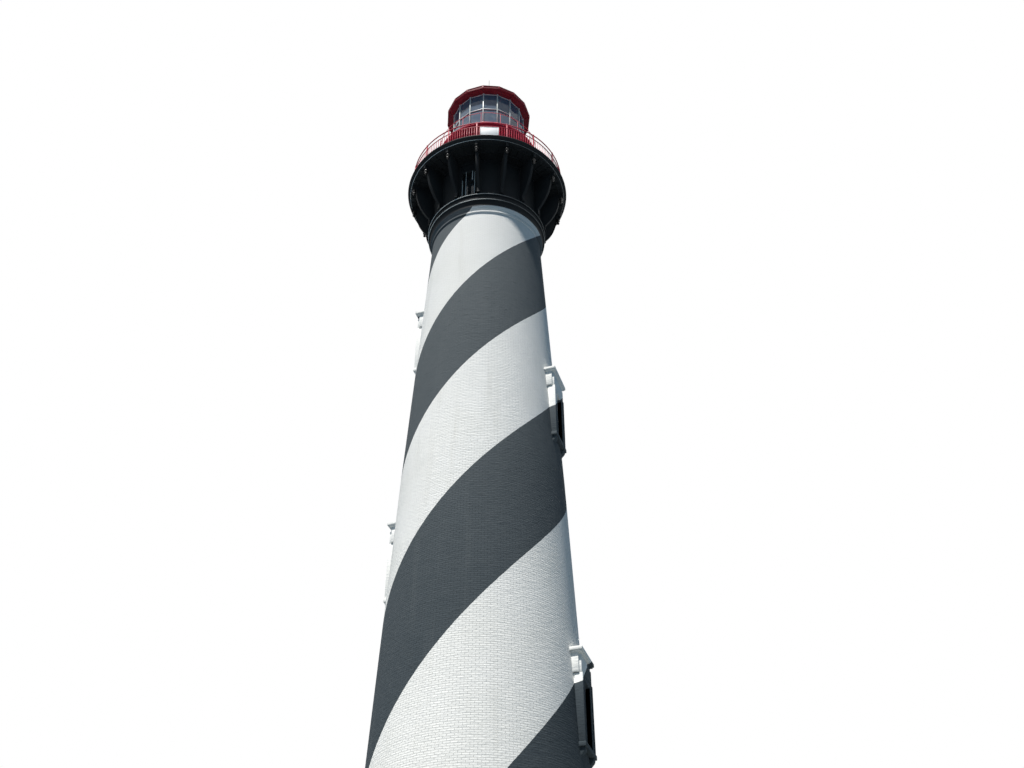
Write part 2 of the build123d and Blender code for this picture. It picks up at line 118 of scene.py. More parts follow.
def arc_block(r0, r1, z0, z1, start, end, steps=4):
    """A block bent round the tower's axis between two radii, two heights and two angles."""
    fresh()
    middle = ((r0 + r1) / 2, 0, (z0 + z1) / 2)
    bpy.ops.mesh.primitive_plane_add(size=1, location=middle, rotation=(pi / 2, 0, 0))
    bpy.context.object.scale = (r1 - r0, z1 - z0, 1)
    moved(frozen(), Matrix.Rotation(start, 4, "Z"))
    edit_all()
    bpy.ops.mesh.spin(steps=steps, angle=start - end, center=(0, 0, 0), axis=(0, 0, 1))
    return close_up()


def join(pieces):
    """Several pieces made one mesh."""
    fresh()
    for piece in pieces:
        piece.select_set(True)
    bpy.context.view_layer.objects.active = pieces[0]
    if len(pieces) > 1:
        bpy.ops.object.join()
    return bpy.context.object


def weathered_back(stone, top):
    """Slope off the upper outer edge of a plinth stone."""
    edit_all()
    bpy.ops.mesh.select_all(action="DESELECT")
    bpy.ops.object.mode_set(mode="OBJECT")
    for edge in stone.data.edges:
        ends = [stone.data.vertices[v].co for v in edge.vertices]
        edge.select = all(e.z > top - 0.001 and e.xy.length > plinth_radius - 0.001 for e in ends)
    bpy.ops.object.mode_set(mode="EDIT")
    bpy.ops.mesh.bevel(offset=plinth_weathering, segments=1, affect="EDGES")
    return close_up()


def material(name, roughness):
    """A new material; gives it, its node tree and its shader."""
    made = bpy.data.materials.new(name)
    made.use_nodes = True
    shader = made.node_tree.nodes["Principled BSDF"]
    shader.inputs["Roughness"].default_value = roughness
    return made, made.node_tree, shader


def linear(red, green, blue):
    """A colour written as it looks on a screen, 0 to 255, as the shader wants it."""
    shares = [c / 255 for c in (red, green, blue)]
    bright = [s / 12.92 if s <= 0.04045 else ((s + 0.055) / 1.055) ** 2.4 for s in shares]
    return (*bright, 1)


def calc(tree, operation, a, b=None):
    """A Math node on sockets or numbers."""
    node = tree.nodes.new("ShaderNodeMath")
    node.operation = operation
    for value, socket in ((a, node.inputs[0]), (b, node.inputs[1])):
        if isinstance(value, (int, float)):
            socket.default_value = value
        elif value is not None:
            tree.links.new(value, socket)
    return node.outputs[0]


def own_place(tree):
    """The Object coordinates of a material."""
    node = tree.nodes.new("ShaderNodeTexCoord")
    return node.outputs["Object"]


def noise(tree, place, scale, detail=4.0, stretch=(1, 1, 1)):
    """A cloudy pattern from 0 to 1, stretched if asked."""
    mapping = tree.nodes.new("ShaderNodeMapping")
    mapping.inputs["Scale"].default_value = stretch
    tree.links.new(place, mapping.inputs["Vector"])
    node = tree.nodes.new("ShaderNodeTexNoise")
    node.inputs["Scale"].default_value = scale
    node.inputs["Detail"].default_value = detail
    node.inputs["Roughness"].default_value = 0.55
    tree.links.new(mapping.outputs[0], node.inputs["Vector"])
    return node.outputs["Fac"]


def ramp(tree, value, low, high, start=0.0, end=1.0):
    """A value stretched from one range to another and held at its ends."""
    node = tree.nodes.new("ShaderNodeMapRange")
    for name, number in (("From Min", low), ("From Max", high), ("To Min", start), ("To Max", end)):
        node.inputs[name].default_value = number
    tree.links.new(value, node.inputs["Value"])
    return node.outputs[0]


def mix(tree, share, a, b):
    """Two colours mixed by a share."""
    node = tree.nodes.new("ShaderNodeMix")
    node.data_type = "RGBA"
    for value, socket in ((share, node.inputs["Factor"]), (a, node.inputs[6]), (b, node.inputs[7])):
        if isinstance(value, (int, float, tuple)):
            socket.default_value = value
        else:
            tree.links.new(value, socket)
    return node.outputs[2]


def layer(tree, under, over, pattern, low, high, most=1.0):
    """One colour laid over another where a pattern runs from low to high, up to the share given."""
    return mix(tree, ramp(tree, pattern, low, high, 0.0, most), under, over)


def bump(tree, shader, height, distance, strength):
    """Relief on a shader from a height pattern, in metres."""
    node = tree.nodes.new("ShaderNodeBump")
    node.inputs["Distance"].default_value = distance
    node.inputs["Strength"].default_value = strength
    tree.links.new(height, node.inputs["Height"])
    tree.links.new(node.outputs[0], shader.inputs["Normal"])


def dressed_stone(name, tone, dark):
    """Dressed stone: mottled, with a fine pecked face flecked with darker grit."""
    made, tree, shader = material(name, 0.85)
    place = own_place(tree)
    cloud = noise(tree, place, 3.0, 6)
    grain = noise(tree, place, 90.0, 3)
    colour = layer(tree, dark, tone, cloud, 0.35, 0.7)
    colour = layer(tree, colour, linear(96, 92, 84), grain, 0.3, 0.75, 0.35)
    tree.links.new(colour, shader.inputs["Base Color"])
    bump(tree, shader, calc(tree, "ADD", grain, calc(tree, "MULTIPLY", cloud, 0.8)), 0.004, 0.7)
    return made


plinth_stone = dressed_stone("plinth_stone", linear(176, 172, 160), linear(138, 134, 122))


def settle(piece, name, finish, slot, *replaced):
    """Name a finished piece, give it its material, and fix it to the tower. The slot is not used."""
    piece.name = name
    piece.data.name = name
    piece.data.materials.clear()
    piece.data.materials.append(finish)
    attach(piece, "root")
    if replaced:
        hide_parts(*replaced)
    return piece


steps_gap = asin(steps_half_width / plinth_radius)
first_joint = -pi / 2 + steps_gap
stone_arc = (tau - 2 * steps_gap) / plinth_stones
joint_arc = plinth_joint / plinth_radius
plinth_inner = plinth_radius - plinth_depth
plinth_pieces = []
for course in range(2):
    low = course * plinth_course
    high = plinth_top if course else plinth_course - plinth_joint
    joints = [0.0] + [i + 0.5 * course for i in range(1, plinth_stones)] + [plinth_stones]
    for near, far in zip(joints, joints[1:]):
        start = first_joint + near * stone_arc
        end = first_joint + far * stone_arc - joint_arc
        stone = arc_block(plinth_inner, plinth_radius, low, high, start, end, 3)
        plinth_pieces.append(weathered_back(stone, high) if course else stone)
plinth = eased(join(plinth_pieces), plinth_ease)
fresh()
bpy.ops.mesh.primitive_cylinder_add(vertices=96, radius=plinth_inner, depth=plinth_top,
                                    location=(0, 0, plinth_top / 2))
plinth = join([plinth, bpy.context.object])
settle(smooth(plinth, 30), "plinth_stones", plinth_stone, "base_stone", "base_plinth")


# Entrance steps: three dressed stone treads on risers, each tread with a worn, rounded nosing that
# oversails the riser below it. They stand against the flat seat that is left in the plinth.
steps_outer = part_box("entry_steps")[0].y
steps_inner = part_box("entry_steps")[1].y
step_count = 3
step_tread = 0.15
step_riser = plinth_top / step_count
step_nosing = 0.012
step_slab = 0.035
step_lap = 0.03
threshold_depth = 0.3


def block(low, high, ease=0.0, segments=2):
    """A cube between two corners, its edges rounded by the amount given."""
    fresh()
    low, high = Vector(low), Vector(high)
    bpy.ops.mesh.primitive_cube_add(size=1, location=(low + high) / 2)
    bpy.context.object.scale = high - low
    frozen()
    if ease:
        edit_all()
        bpy.ops.mesh.bevel(offset=ease, segments=segments, affect="EDGES", clamp_overlap=True)
        bpy.ops.object.mode_set(mode="OBJECT")
    return bpy.context.object


riser_half = steps_half_width - step_nosing
step_pieces = []
for i in range(step_count):
    front = steps_outer + step_nosing + i * step_tread
    back = steps_inner if i == step_count - 1 else front + step_tread + step_lap
    top = (i + 1) * step_riser
    low = (-steps_half_width, front - step_nosing, top - step_slab)
    step_pieces.append(block(low, (steps_half_width, back, top), 0.008, 3))
    low = (-riser_half, front, top - step_riser)
    step_pieces.append(block(low, (riser_half, back, top - step_slab), 0.003))
high = (riser_half, steps_inner + threshold_depth, plinth_top)
step_pieces.append(block((-riser_half, steps_inner, 0), high, 0.004))
settle(smooth(join(step_pieces)), "step_stones", plinth_stone, "base_stone", "entry_steps")

# Ground floor and service room floor: worn oblong flagstones with tight joints, a little lighter and
# darker from one to the next, bedded level in mortar inside the wall.
flag_length = 0.588
flag_width = 0.42
flag_joint = 0.006


def courses(tree, place, length, height, joint, softness, tones):
    """A running bond of bricks or flags; the tones are those of light and dark ones and of the joints."""
    node = tree.nodes.new("ShaderNodeTexBrick")
    node.offset = 0.5
    for socket, number in (("Scale", 1.0), ("Brick Width", length), ("Row Height", height),
                           ("Mortar Size", joint), ("Mortar Smooth", softness), ("Bias", 0.0)):
        node.inputs[socket].default_value = number
    for socket, tone in zip(("Color1", "Color2", "Mortar"), tones):
        node.inputs[socket].default_value = tone
    tree.links.new(place, node.inputs["Vector"])
    return node.outputs["Color"], node.outputs["Fac"]


def flagged(name, tone, dark):
    """Oblong flags with tight joints, each a little lighter or darker."""
    made, tree, shader = material(name, 0.8)
    place = own_place(tree)
    tones = (tone, dark, linear(84, 82, 76))
    flags, joint = courses(tree, place, flag_length, flag_width, flag_joint, 0.3, tones)
    cloud = noise(tree, place, 5.0, 6)
    colour = layer(tree, flags, linear(110, 106, 98), cloud, 0.35, 0.7, 0.4)
    tree.links.new(colour, shader.inputs["Base Color"])
    height = calc(tree, "SUBTRACT", calc(tree, "MULTIPLY", cloud, 0.4), joint)
    bump(tree, shader, height, 0.004, 0.8)
    return made


flagstone = flagged("flagstone", linear(162, 158, 148), linear(142, 138, 128))


def finish_node(finish, *names):
    """Give CAD nodes that stay as they are a material."""
    for name in names:
        nodes[name].data.materials.clear()
        nodes[name].data.materials.append(finish)


finish_node(flagstone, "ground_floor", "service_floor")

# Shaft wall: brickwork laid to true courses, brushed over with white and charcoal paint in bands that
# climb round it. The bands turn faster towards the top, and the charcoal widens under the cornice.
# A band's angle at a height is its start, plus climb times the height, plus gain times its square.
band_white = linear(233, 233, 230)
band_charcoal = linear(64, 72, 77)
band_start = -9.985179
band_climb = 0.340062
band_gain = 0.009617
band_share = 0.48556
band_share_top = 0.524
band_widening = (18.3, 19.0)
brick_length = 0.1075
brick_course = 0.0375
brick_joint = 0.0032
brick_counts = (111, 97, 80)
lift_tops = [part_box(f"shaft_lift_{i}_face_segments")[1].z for i in (1, 2)]


def split(tree, place):
    """The x, y and z of a place."""
    node = tree.nodes.new("ShaderNodeSeparateXYZ")
    tree.links.new(place, node.inputs[0])
    return node.outputs


def brickwork(tree, angle, height):
    """Bricks on the unrolled wall, fewer to a course in each higher lift: their tints and joints."""
    count = brick_counts[0]
    for top, below, above in zip(lift_tops, brick_counts, brick_counts[1:]):
        higher = calc(tree, "GREATER_THAN", height, top)
        count = calc(tree, "SUBTRACT", count, calc(tree, "MULTIPLY", higher, below - above))
    along = calc(tree, "MULTIPLY", calc(tree, "MULTIPLY", angle, count), brick_length / tau)
    unrolled = tree.nodes.new("ShaderNodeCombineXYZ")
    tree.links.new(along, unrolled.inputs[0])
    tree.links.new(height, unrolled.inputs[1])
    tones = [(grey, grey, grey, 1) for grey in (0.25, 1.0, 0.1)]
    return courses(tree, unrolled.outputs[0], brick_length, brick_course, brick_joint, 0.6, tones)


def banded_paint(name, bricks):
    """White and charcoal bands by angle and height, on brickwork or on smooth render."""
    made, tree, shader = material(name, 0.85)
    shader.inputs["Specular IOR Level"].default_value = 0.04
    place = own_place(tree)
    x, y, z = split(tree, place)
    angle = calc(tree, "ARCTAN2", y, x)
    ragged = calc(tree, "MULTIPLY", calc(tree, "SUBTRACT", noise(tree, place, 9.0, 5), 0.5), 0.01)
    climb = calc(tree, "MULTIPLY", z, calc(tree, "ADD", calc(tree, "MULTIPLY", z, band_gain), band_climb))
    turn = calc(tree, "SUBTRACT", calc(tree, "ADD", angle, ragged), calc(tree, "ADD", climb, band_start))
    phase = calc(tree, "FRACT", calc(tree, "DIVIDE", turn, pi))
    dark = calc(tree, "LESS_THAN", phase, ramp(tree, z, *band_widening, band_share, band_share_top))
    cloud = noise(tree, place, 1.1, 5)
    streak = noise(tree, place, 5.0, 6, (1, 1, 0.05))
    fine = noise(tree, place, 60.0, 3)
    dashes = noise(tree, place, 7.0, 5, (1, 1, 5))
    white = layer(tree, band_white, linear(226, 226, 221), cloud, 0.35, 0.7, 0.5)
    white = layer(tree, white, linear(190, 188, 178), streak, 0.56, 0.8, 0.22)
    black = layer(tree, band_charcoal, linear(70, 77, 82), cloud, 0.35, 0.75, 0.7)
    black = layer(tree, black, linear(92, 97, 99), streak, 0.55, 0.8, 0.35)
    # Painted sheen: the charcoal is made lighter towards the top, for the light it catches higher up.
    black = layer(tree, black, linear(108, 113, 115), z, 8.0, 17.5, 0.55)
    black = layer(tree, black, linear(36, 42, 46), dashes, 0.6, 0.78, 0.5)
    colour = mix(tree, dark, white, black)
    relief = calc(tree, "ADD", calc(tree, "MULTIPLY", fine, 0.4), dashes)
    if bricks:
        tint, joint = brickwork(tree, angle, z)
        colour = mix(tree, ramp(tree, tint, 0.25, 1.0, 0.03, 0.0), colour, linear(140, 140, 136))
        colour = mix(tree, calc(tree, "MULTIPLY", joint, 0.12), colour, linear(60, 62, 62))
        relief = calc(tree, "ADD", relief, calc(tree, "MULTIPLY", calc(tree, "SUBTRACT", 1.0, joint), 0.7))
        relief = calc(tree, "ADD", relief, calc(tree, "MULTIPLY", tint, 0.8))
    tree.links.new(colour, shader.inputs["Base Color"])
    bump(tree, shader, relief, 0.008, 0.9)
    return made


painted_brick = banded_paint("painted_brick", True)
for lift in (1, 2, 3):
    finish_node(painted_brick, f"shaft_lift_{lift}_face_segments", f"shaft_lift_{lift}_corner_segments")

# Entrance surround: rendered stone round the doorway, with panelled pilasters on pedestals, a plain
# head and an oversailing hood on a bed mould. It is bonded into the wall and painted with it.
floor_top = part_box("ground_floor")[1].z
hood_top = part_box("door_surround")[1].z
hood_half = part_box("door_surround")[1].x
hood_reach = 0.06
hood_thickness = 0.09
hood_low = hood_top - hood_thickness
hood_slab_low = hood_top - hood_thickness * 0.66
hood_mould_inset = 0.022
door_face = -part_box("door_surround")[0].y - hood_reach
door_back = door_face - 0.3
door_half = 0.3
door_side = 0.45
door_top = floor_top + 1.2
pedestal_top = plinth_top + 0.16
capital_low = door_top - 0.07
face_front = Matrix.Rotation(-pi / 2, 4, "Z")


def pick_faces(piece, wanted):
    """Edit mode on the active piece with only the wanted faces selected."""
    bpy.ops.object.mode_set(mode="EDIT")
    bpy.ops.mesh.select_mode(type="FACE")
    bpy.ops.mesh.select_all(action="DESELECT")
    bpy.ops.object.mode_set(mode="OBJECT")
    for face in piece.data.polygons:
        face.select = wanted(face)
    bpy.ops.object.mode_set(mode="EDIT")


def sunk_panel(low, high, border, depth, ease):
    """A block towards +X whose outer face has a sunk panel inside a border."""
    piece = block(low, high)
    pick_faces(piece, lambda face: face.normal.x > 0.9)
    bpy.ops.mesh.inset(thickness=border, depth=0)
    bpy.ops.mesh.extrude_region_move(TRANSFORM_OT_translate={"value": (-depth, 0, 0)})
    bpy.ops.mesh.inset(thickness=depth, depth=0)
    bpy.ops.mesh.select_mode(type="VERT")
    close_up()
    return eased(piece, ease)


def span(side, inner, outer):
    """Where a piece starts and ends on one side of the middle, the lower value first."""
    return sorted((side * inner, side * outer))


def slab(back, face, half, low, high, ease=0.0, segments=2):
    """A block that reaches as far to the left of the middle as to the right."""
    return block((back, -half, low), (face, half, high), ease, segments)


painted_render = banded_paint("painted_render", False)
entrance = []
for side in (-1, 1):
    near, far = span(side, door_half, door_side)
    high = (door_face, far, capital_low)
    entrance.append(sunk_panel((door_back, near, pedestal_top), high, 0.035, 0.008, 0.004))
    high = (door_face + 0.012, far + 0.008, pedestal_top)
    entrance.append(block((door_back, near - 0.008, plinth_top), high, 0.006))
    high = (door_face + 0.01, far + 0.006, door_top)
    entrance.append(block((door_back, near - 0.006, capital_low), high, 0.005))
low = (door_face - 0.05, -door_side + 0.05, door_top + 0.05)
high = (door_face + 0.01, door_side - 0.05, hood_low - 0.04)
hood_face = door_face + hood_reach
entrance += [
    slab(door_back, door_face, door_side, door_top, hood_low, 0.005),
    sunk_panel(low, high, 0.02, 0.006, 0.003),
    slab(door_back, hood_face, hood_half, hood_slab_low, hood_top, 0.006, 3),
    slab(door_back, hood_face - 0.024, hood_half - hood_mould_inset, hood_low, hood_slab_low, 0.005),
    slab(door_back, door_face + 0.02, door_half, plinth_top, floor_top, 0.005),
]
door_surround = smooth(moved(join(entrance), face_front))
settle(door_surround, "entrance_surround", painted_render, "painted_brick", "door_surround")

# Entrance door: a panelled timber leaf, painted, on three iron strap hinges with a ring handle. It
# is hung in the doorway behind the surround, and it is fixed shut.
door_outside = -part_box("door_leaf")[0].y
door_thickness = 0.05
lock_rail = floor_top + 0.504
panel_gap = 0.003
panel_stile = 0.095
strap_length = 0.216
strap_half = 0.02
hinge_heights = (0.16, 0.6, 1.04)
hinge_screws = (0.05, 0.12, 0.19)
handle_side = door_half - 0.037


def paint_on_wood(name, tone, dirt):
    """Brushed oil paint over timber: fine vertical grain and grime in clouds."""
    made, tree, shader = material(name, 0.5)
    place = own_place(tree)
    grain = noise(tree, place, 30.0, 5, (1, 1, 0.08))
    cloud = noise(tree, place, 4.0, 4)
    colour = layer(tree, tone, dirt, grain, 0.45, 0.75, 0.35)
    colour = layer(tree, colour, dirt, cloud, 0.5, 0.8, 0.4)
    tree.links.new(colour, shader.inputs["Base Color"])
    bump(tree, shader, grain, 0.0015, 0.5)
    return made


door_timber = paint_on_wood("door_timber", linear(92, 26, 30), linear(60, 22, 22))


def iron_paint(name, tone, faded, roughness, shine=0.2):
    """Paint on cast iron: slightly orange-peeled, faded in clouds and run with thin streaks."""
    made, tree, shader = material(name, roughness)
    shader.inputs["Specular IOR Level"].default_value = shine
    place = own_place(tree)
    cloud = noise(tree, place, 2.2, 5)
    streak = noise(tree, place, 9.0, 6, (1, 1, 0.06))
    fleck = noise(tree, place, 70.0, 3)
    colour = layer(tree, tone, faded, cloud, 0.42, 0.75, 0.7)
    colour = layer(tree, colour, faded, streak, 0.6, 0.8, 0.5)
    tree.links.new(colour, shader.inputs["Base Color"])
    dulled = ramp(tree, cloud, 0.3, 0.8, roughness - 0.06, roughness + 0.14)
    tree.links.new(dulled, shader.inputs["Roughness"])
    bump(tree, shader, fleck, 0.0015, 0.4)
    return made


black_paint = iron_paint("black_paint", linear(36, 39, 41), linear(48, 51, 53), 0.55, 0.04)
low = (door_outside - door_thickness, -door_half, floor_top)
door_pieces = [block(low, (door_outside - 0.022, door_half, door_top))]
for bottom, top in ((floor_top, lock_rail), (lock_rail, door_top)):
    for near, far in ((-door_half, 0.0), (0.0, door_half)):
        low = (door_outside - 0.03, near + panel_gap, bottom + panel_gap)
        high = (door_outside, far - panel_gap, top - panel_gap)
        door_pieces.append(sunk_panel(low, high, 0.06, 0.016, 0.003))
        low = (door_outside - 0.02, near + panel_stile, bottom + panel_stile)
        high = (door_outside - 0.006, far - panel_stile, top - panel_stile)
        door_pieces.append(block(low, high, 0.005))
door_leaf = smooth(moved(join(door_pieces), face_front))
settle(door_leaf, "entrance_door", door_timber, "painted_timber", "door_leaf")


def ball(radius, place, squash=(1, 1, 1), sides=12):
    """A small turned knob or rivet head."""
    fresh()
    bpy.ops.mesh.primitive_uv_sphere_add(segments=sides, ring_count=max(4, sides // 2), radius=radius,
                                         location=place)
    bpy.context.object.scale = squash
    return smooth(frozen(), 60)


def hoop(place, radius, thickness, turn, sides):
    """A small ring of round bar, turned up from lying flat."""
    fresh()
    bpy.ops.mesh.primitive_torus_add(major_radius=radius, minor_radius=thickness / 2, major_segments=sides,
                                     minor_segments=8, location=place, rotation=turn)
    return smooth(frozen(), 60)


furniture = []
for height in hinge_heights:
    level = floor_top + height
    near = -door_half + 0.004
    low = (door_outside - 0.002, near, level - strap_half)
    high = (door_outside + 0.008, near + strap_length, level + strap_half)
    furniture.append(block(low, high, 0.003))
    for along in hinge_screws:
        furniture.append(ball(0.008, (door_outside + 0.008, -door_half + along, level), (0.6, 1, 1)))
low = (door_outside - 0.002, door_half - 0.055, floor_top + 0.52)
furniture.append(block(low, (door_outside + 0.006, door_half - 0.02, floor_top + 0.66), 0.003))
handle_place = (door_outside + 0.014, handle_side, floor_top + 0.585)
furniture.append(hoop(handle_place, 0.024, 0.008, (0, pi / 2, 0), 24))
furniture.append(ball(0.009, (door_outside + 0.01, handle_side, floor_top + 0.612)))
settle(moved(join(furniture), face_front), "entrance_ironwork", black_paint, "painted_timber")

# Windows: rendered stone dressings painted with the bands. Each has a heavy cap on a bed mould, a
# frieze block, an architrave round the opening, and a sill on two small brackets, bonded in the wall.
# Heights and reaches are measured from the cap's top and from the dressings' plain face.
east_tops = (2.95, 8.975, 14.925)
west_tops = (5.95, 12.0, 17.24)
shaft_head_radius = 1.197
shaft_head = 18.93
window_reach = 0.13
window_back = -0.24
window_half = 0.165
surround_half = 0.3
cap_half = 0.375
cap_height = 0.085
cap_slab = 0.06
cap_mould_inset = 0.02
frieze_half = 0.33
frieze_bottom = -0.415
frieze_joint = 0.012
opening_top = -0.5
opening_bottom = -1.55
sill_bottom = opening_bottom - 0.075
sill_half = 0.33
foot_width = 0.11
foot_outline = [(-0.2, 0.0), (0.0, 0.0), (0.0, -0.03), (-0.006, -0.052), (-0.02, -0.072), (-0.04, -0.092),
                (-0.058, -0.112), (-0.07, -0.132), (-0.09, -0.15), (-0.2, -0.15)]


def plate(outline, thickness):
    """A flat plate of an outline of (out, up) points, standing across the XZ plane."""
    fresh()
    bpy.ops.mesh.primitive_circle_add(vertices=len(outline), radius=1, fill_type="NGON")
    piece = bpy.context.object
    for corner, (out, up) in zip(piece.data.vertices, outline):
        corner.co = (out, -thickness / 2, up)
    edit_all()
    bpy.ops.mesh.extrude_region_move(TRANSFORM_OT_translate={"value": (0, thickness, 0)})
    return close_up()


dressing = [
    slab(window_back, 0.04, cap_half, -cap_slab, 0, 0.007, 3),
    slab(window_back, 0.022, cap_half - cap_mould_inset, -cap_height, -cap_slab, 0.006, 3),
    slab(window_back, -0.04, frieze_half, frieze_bottom, -cap_height, 0.005),
    slab(window_back, 0, surround_half, frieze_bottom, -2 * cap_height, 0.005),
    slab(window_back, -0.012, surround_half - 0.015, -2 * cap_height, -cap_height, 0.004),
    slab(window_back, 0, surround_half, opening_top, frieze_bottom - frieze_joint, 0.005),
    slab(window_back, 0.022, sill_half, sill_bottom, opening_bottom, 0.008, 3),
]
upright_stones = (
    (window_half, surround_half, window_back, 0, opening_top, 0.005),
    (surround_half - 0.035, surround_half + 0.006, -0.12, 0.012, frieze_bottom - frieze_joint, 0.004),
    (window_half, window_half + 0.02, -0.1, 0.006, opening_top + 0.02, 0.003),
)
for side in (-1, 1):
    for inner, outer, back, face, top, ease in upright_stones:
        near, far = span(side, inner, outer)
        dressing.append(block((back, near, opening_bottom), (face, far, top), ease))
    foot = plate([(out, up + sill_bottom) for out, up in foot_outline], foot_width)
    foot_place = Matrix.Translation((0, side * (surround_half - foot_width / 2), 0))
    dressing.append(eased(moved(foot, foot_place), 0.005))
window_dressing = smooth(join(dressing))
wall_radii = [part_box(f"shaft_lift_{i}_face_segments")[1].x for i in (1, 2, 3)] + [shaft_head_radius]
wall_heights = [plinth_top] + lift_tops + [shaft_head]


def wall_radius(height):
    """The wall's outer radius at a height, from the radii at the lifts' feet and at the neck."""
    lift = sum(height > top for top in lift_tops)
    share = (height - wall_heights[lift]) / (wall_heights[lift + 1] - wall_heights[lift])
    return wall_radii[lift] + (wall_radii[lift + 1] - wall_radii[lift]) * share


def placed(pattern, places):
    """One mesh of a pattern's copies, each put in its place by a matrix; the pattern is taken away."""
    copies = []
    for place in places:
        copy = pattern.copy()
        copy.data = pattern.data.copy()
        bpy.context.scene.collection.objects.link(copy)
        copies.append(moved(copy, place))
    bpy.data.objects.remove(pattern)
    return join(copies)


def at_windows(pattern):
    """One mesh of a window piece's copies, one at each window."""
    places = []
    for tops, angle in ((east_tops, 0), (west_tops, pi)):
        for top in tops:
            out = Matrix.Translation((wall_radius(top) + window_reach, 0, top))
            places.append(Matrix.Rotation(angle, 4, "Z") @ out)
    return placed(pattern, places)


settle(at_windows(window_dressing), "window_dressings", painted_render, "painted_brick",
       "window_hoods", "window_surrounds", "window_sills")

# Sashes: two painted timber sashes in each window, the lower one inside the upper, with thin
# moulded bars, held by a bead down each side of the frame. The panes are puttied in behind.
sash_face = -0.1
sash_thickness = 0.026
sash_step = 0.014
sash_stile = 0.034
sash_rail = 0.03
sash_half_bar = 0.007
sash_lap = 0.012
sash_middle = (opening_top + opening_bottom) / 2
sash_ease = 0.003
sashes = []
for low, high, face in ((opening_bottom, sash_middle + sash_lap, sash_face - sash_step),
                        (sash_middle - sash_lap, opening_top, sash_face)):
    back = face - sash_thickness
    for side in (-1, 1):
        near, far = span(side, window_half, window_half - sash_stile)
        sashes.append(block((back, near, low), (face, far, high), sash_ease))
    bar_face = face - 0.004
    centre = (low + high) / 2
    sashes += [
        slab(back, face, window_half, low, low + sash_rail, sash_ease),
        slab(back, face, window_half, high - sash_rail, high, sash_ease),
        slab(back, bar_face, sash_half_bar, low, high, sash_ease),
        slab(back, bar_face, window_half, centre - sash_half_bar, centre + sash_half_bar, sash_ease),
    ]
for side in (-1, 1):
    near, far = span(side, window_half, window_half - 0.012)
    high = (sash_face + 0.02, far, opening_top)
    sashes.append(block((sash_face - 0.01, near, opening_bottom), high, 0.002))
white_timber = paint_on_wood("white_timber", linear(222, 221, 214), linear(178, 174, 162))
settle(at_windows(smooth(join(sashes))), "timber_sashes", white_timber, "painted_timber", "window_sashes")


def window_pane(name, tint, cover):
    """Old glass, a little dusty: part film and part clear. The film's tint is painted: the shade behind the
    glass and what it reflects.
    """
    made, tree, shader = material(name, 0.06)
    dust = noise(tree, own_place(tree), 6.0, 4)
    colour = layer(tree, tint, linear(150, 156, 158), dust, 0.4, 0.8, 0.4)
    tree.links.new(colour, shader.inputs["Base Color"])
    shader.inputs["Alpha"].default_value = cover
    shader.inputs["Specular IOR Level"].default_value = 0.3
    shader.inputs["IOR"].default_value = 1.45
    return made


# Painted shade: the panes' dark film stands for the shade in the rooms behind them.
dark_pane = window_pane("dark_pane", linear(40, 46, 52), 0.75)
finish_node(dark_pane, "window_glass", "service_window_glass")

# Cornice: cast-iron rings bolted over the flared brick collar: a cove, a rolled lip, a plain band
# with a row of studs, and a heavier rolled lip, all painted black.
cornice_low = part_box("cornice")[0].z
cornice_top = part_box("cornice")[1].z
cornice_inner = 0.947
cove_radius = 1.252
cove_steps = 4
band_radius = 1.278
lip_radius = 1.305
top_lip_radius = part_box("cornice")[1].x
cove_top = cornice_low + 0.15
lip_top = cove_top + 0.04
band_top = lip_top + 0.12
stud_count = 64


def lathed(profile, sides=128, phase=0.0, closed=True):
    """A ring turned from (radius, height) points: a circle extruded from point to point."""
    fresh()
    radius, height = profile[0]
    fill = "NOTHING" if closed else "NGON"
    bpy.ops.mesh.primitive_circle_add(vertices=sides, radius=radius, location=(0, 0, height), fill_type=fill)
    moved(frozen(), Matrix.Rotation(phase, 4, "Z"))
    edit_all()
    points = list(profile) + list(profile[:1] if closed else [])
    for (r0, z0), (r1, z1) in zip(points, points[1:]):
        bpy.ops.mesh.extrude_edges_move(TRANSFORM_OT_translate={"value": (0, 0, z1 - z0)})
        bpy.ops.transform.resize(value=(r1 / r0, r1 / r0, 1), center_override=(0, 0, 0))
    if not closed:
        bpy.ops.mesh.edge_face_add()
    return close_up()


def rolled(radius, low, high, reach):
    """The (radius, height) points of a half-round lip between two heights."""
    half = (high - low) / 2
    turns = [pi * i / 4 - pi / 2 for i in range(5)]
    return [(radius + reach * cos(t), low + half + half * sin(t)) for t in turns]


def turned(pattern, angles):
    """One mesh of a pattern's copies turned about the tower's axis."""
    return placed(pattern, [Matrix.Rotation(angle, 4, "Z") for angle in angles])


cornice_profile = [(cornice_inner, cornice_low), (cove_radius, cornice_low)]
for step in range(1, cove_steps + 1):
    turn = step / cove_steps * pi / 2
    cornice_profile.append((cove_radius + (band_radius - cove_radius) * (1 - cos(turn)),
                            cornice_low + (cove_top - cornice_low) * sin(turn)))
cornice_profile += rolled(band_radius, cove_top, lip_top, lip_radius - band_radius)
cornice_profile += rolled(band_radius, band_top, cornice_top - 0.008, top_lip_radius - band_radius)
cornice_profile += [(band_radius + 0.01, cornice_top), (cornice_inner, cornice_top)]
stud = ball(0.011, (band_radius + 0.001, 0, (lip_top + band_top) / 2), (0.55, 1, 1), 8)
cornice = smooth(lathed(cornice_profile, 160), 40)
cornice_studs = turned(stud, [tau * i / stud_count for i in range(stud_count)])
settle(join([cornice, cornice_studs]), "cornice_rings", black_paint, "black_iron", "cornice")

# Cornice beads: thin round iron bars under the cornice's two lips, which make the rain drip clear of
# the wall. They are screwed up from below. Their grey is partly worn paint and partly painted highlight,
# for the lit lines along the lips, and it is painted pale on the side the lamp lights.
bead_thickness = 0.012


def pipe(radius, height, thickness, sides=160, around=8):
    """A round bar bent to a full ring."""
    half = thickness / 2
    turns = [tau * i / around for i in range(around)]
    return smooth(lathed([(radius + half * cos(t), height + half * sin(t)) for t in turns], sides), 60)


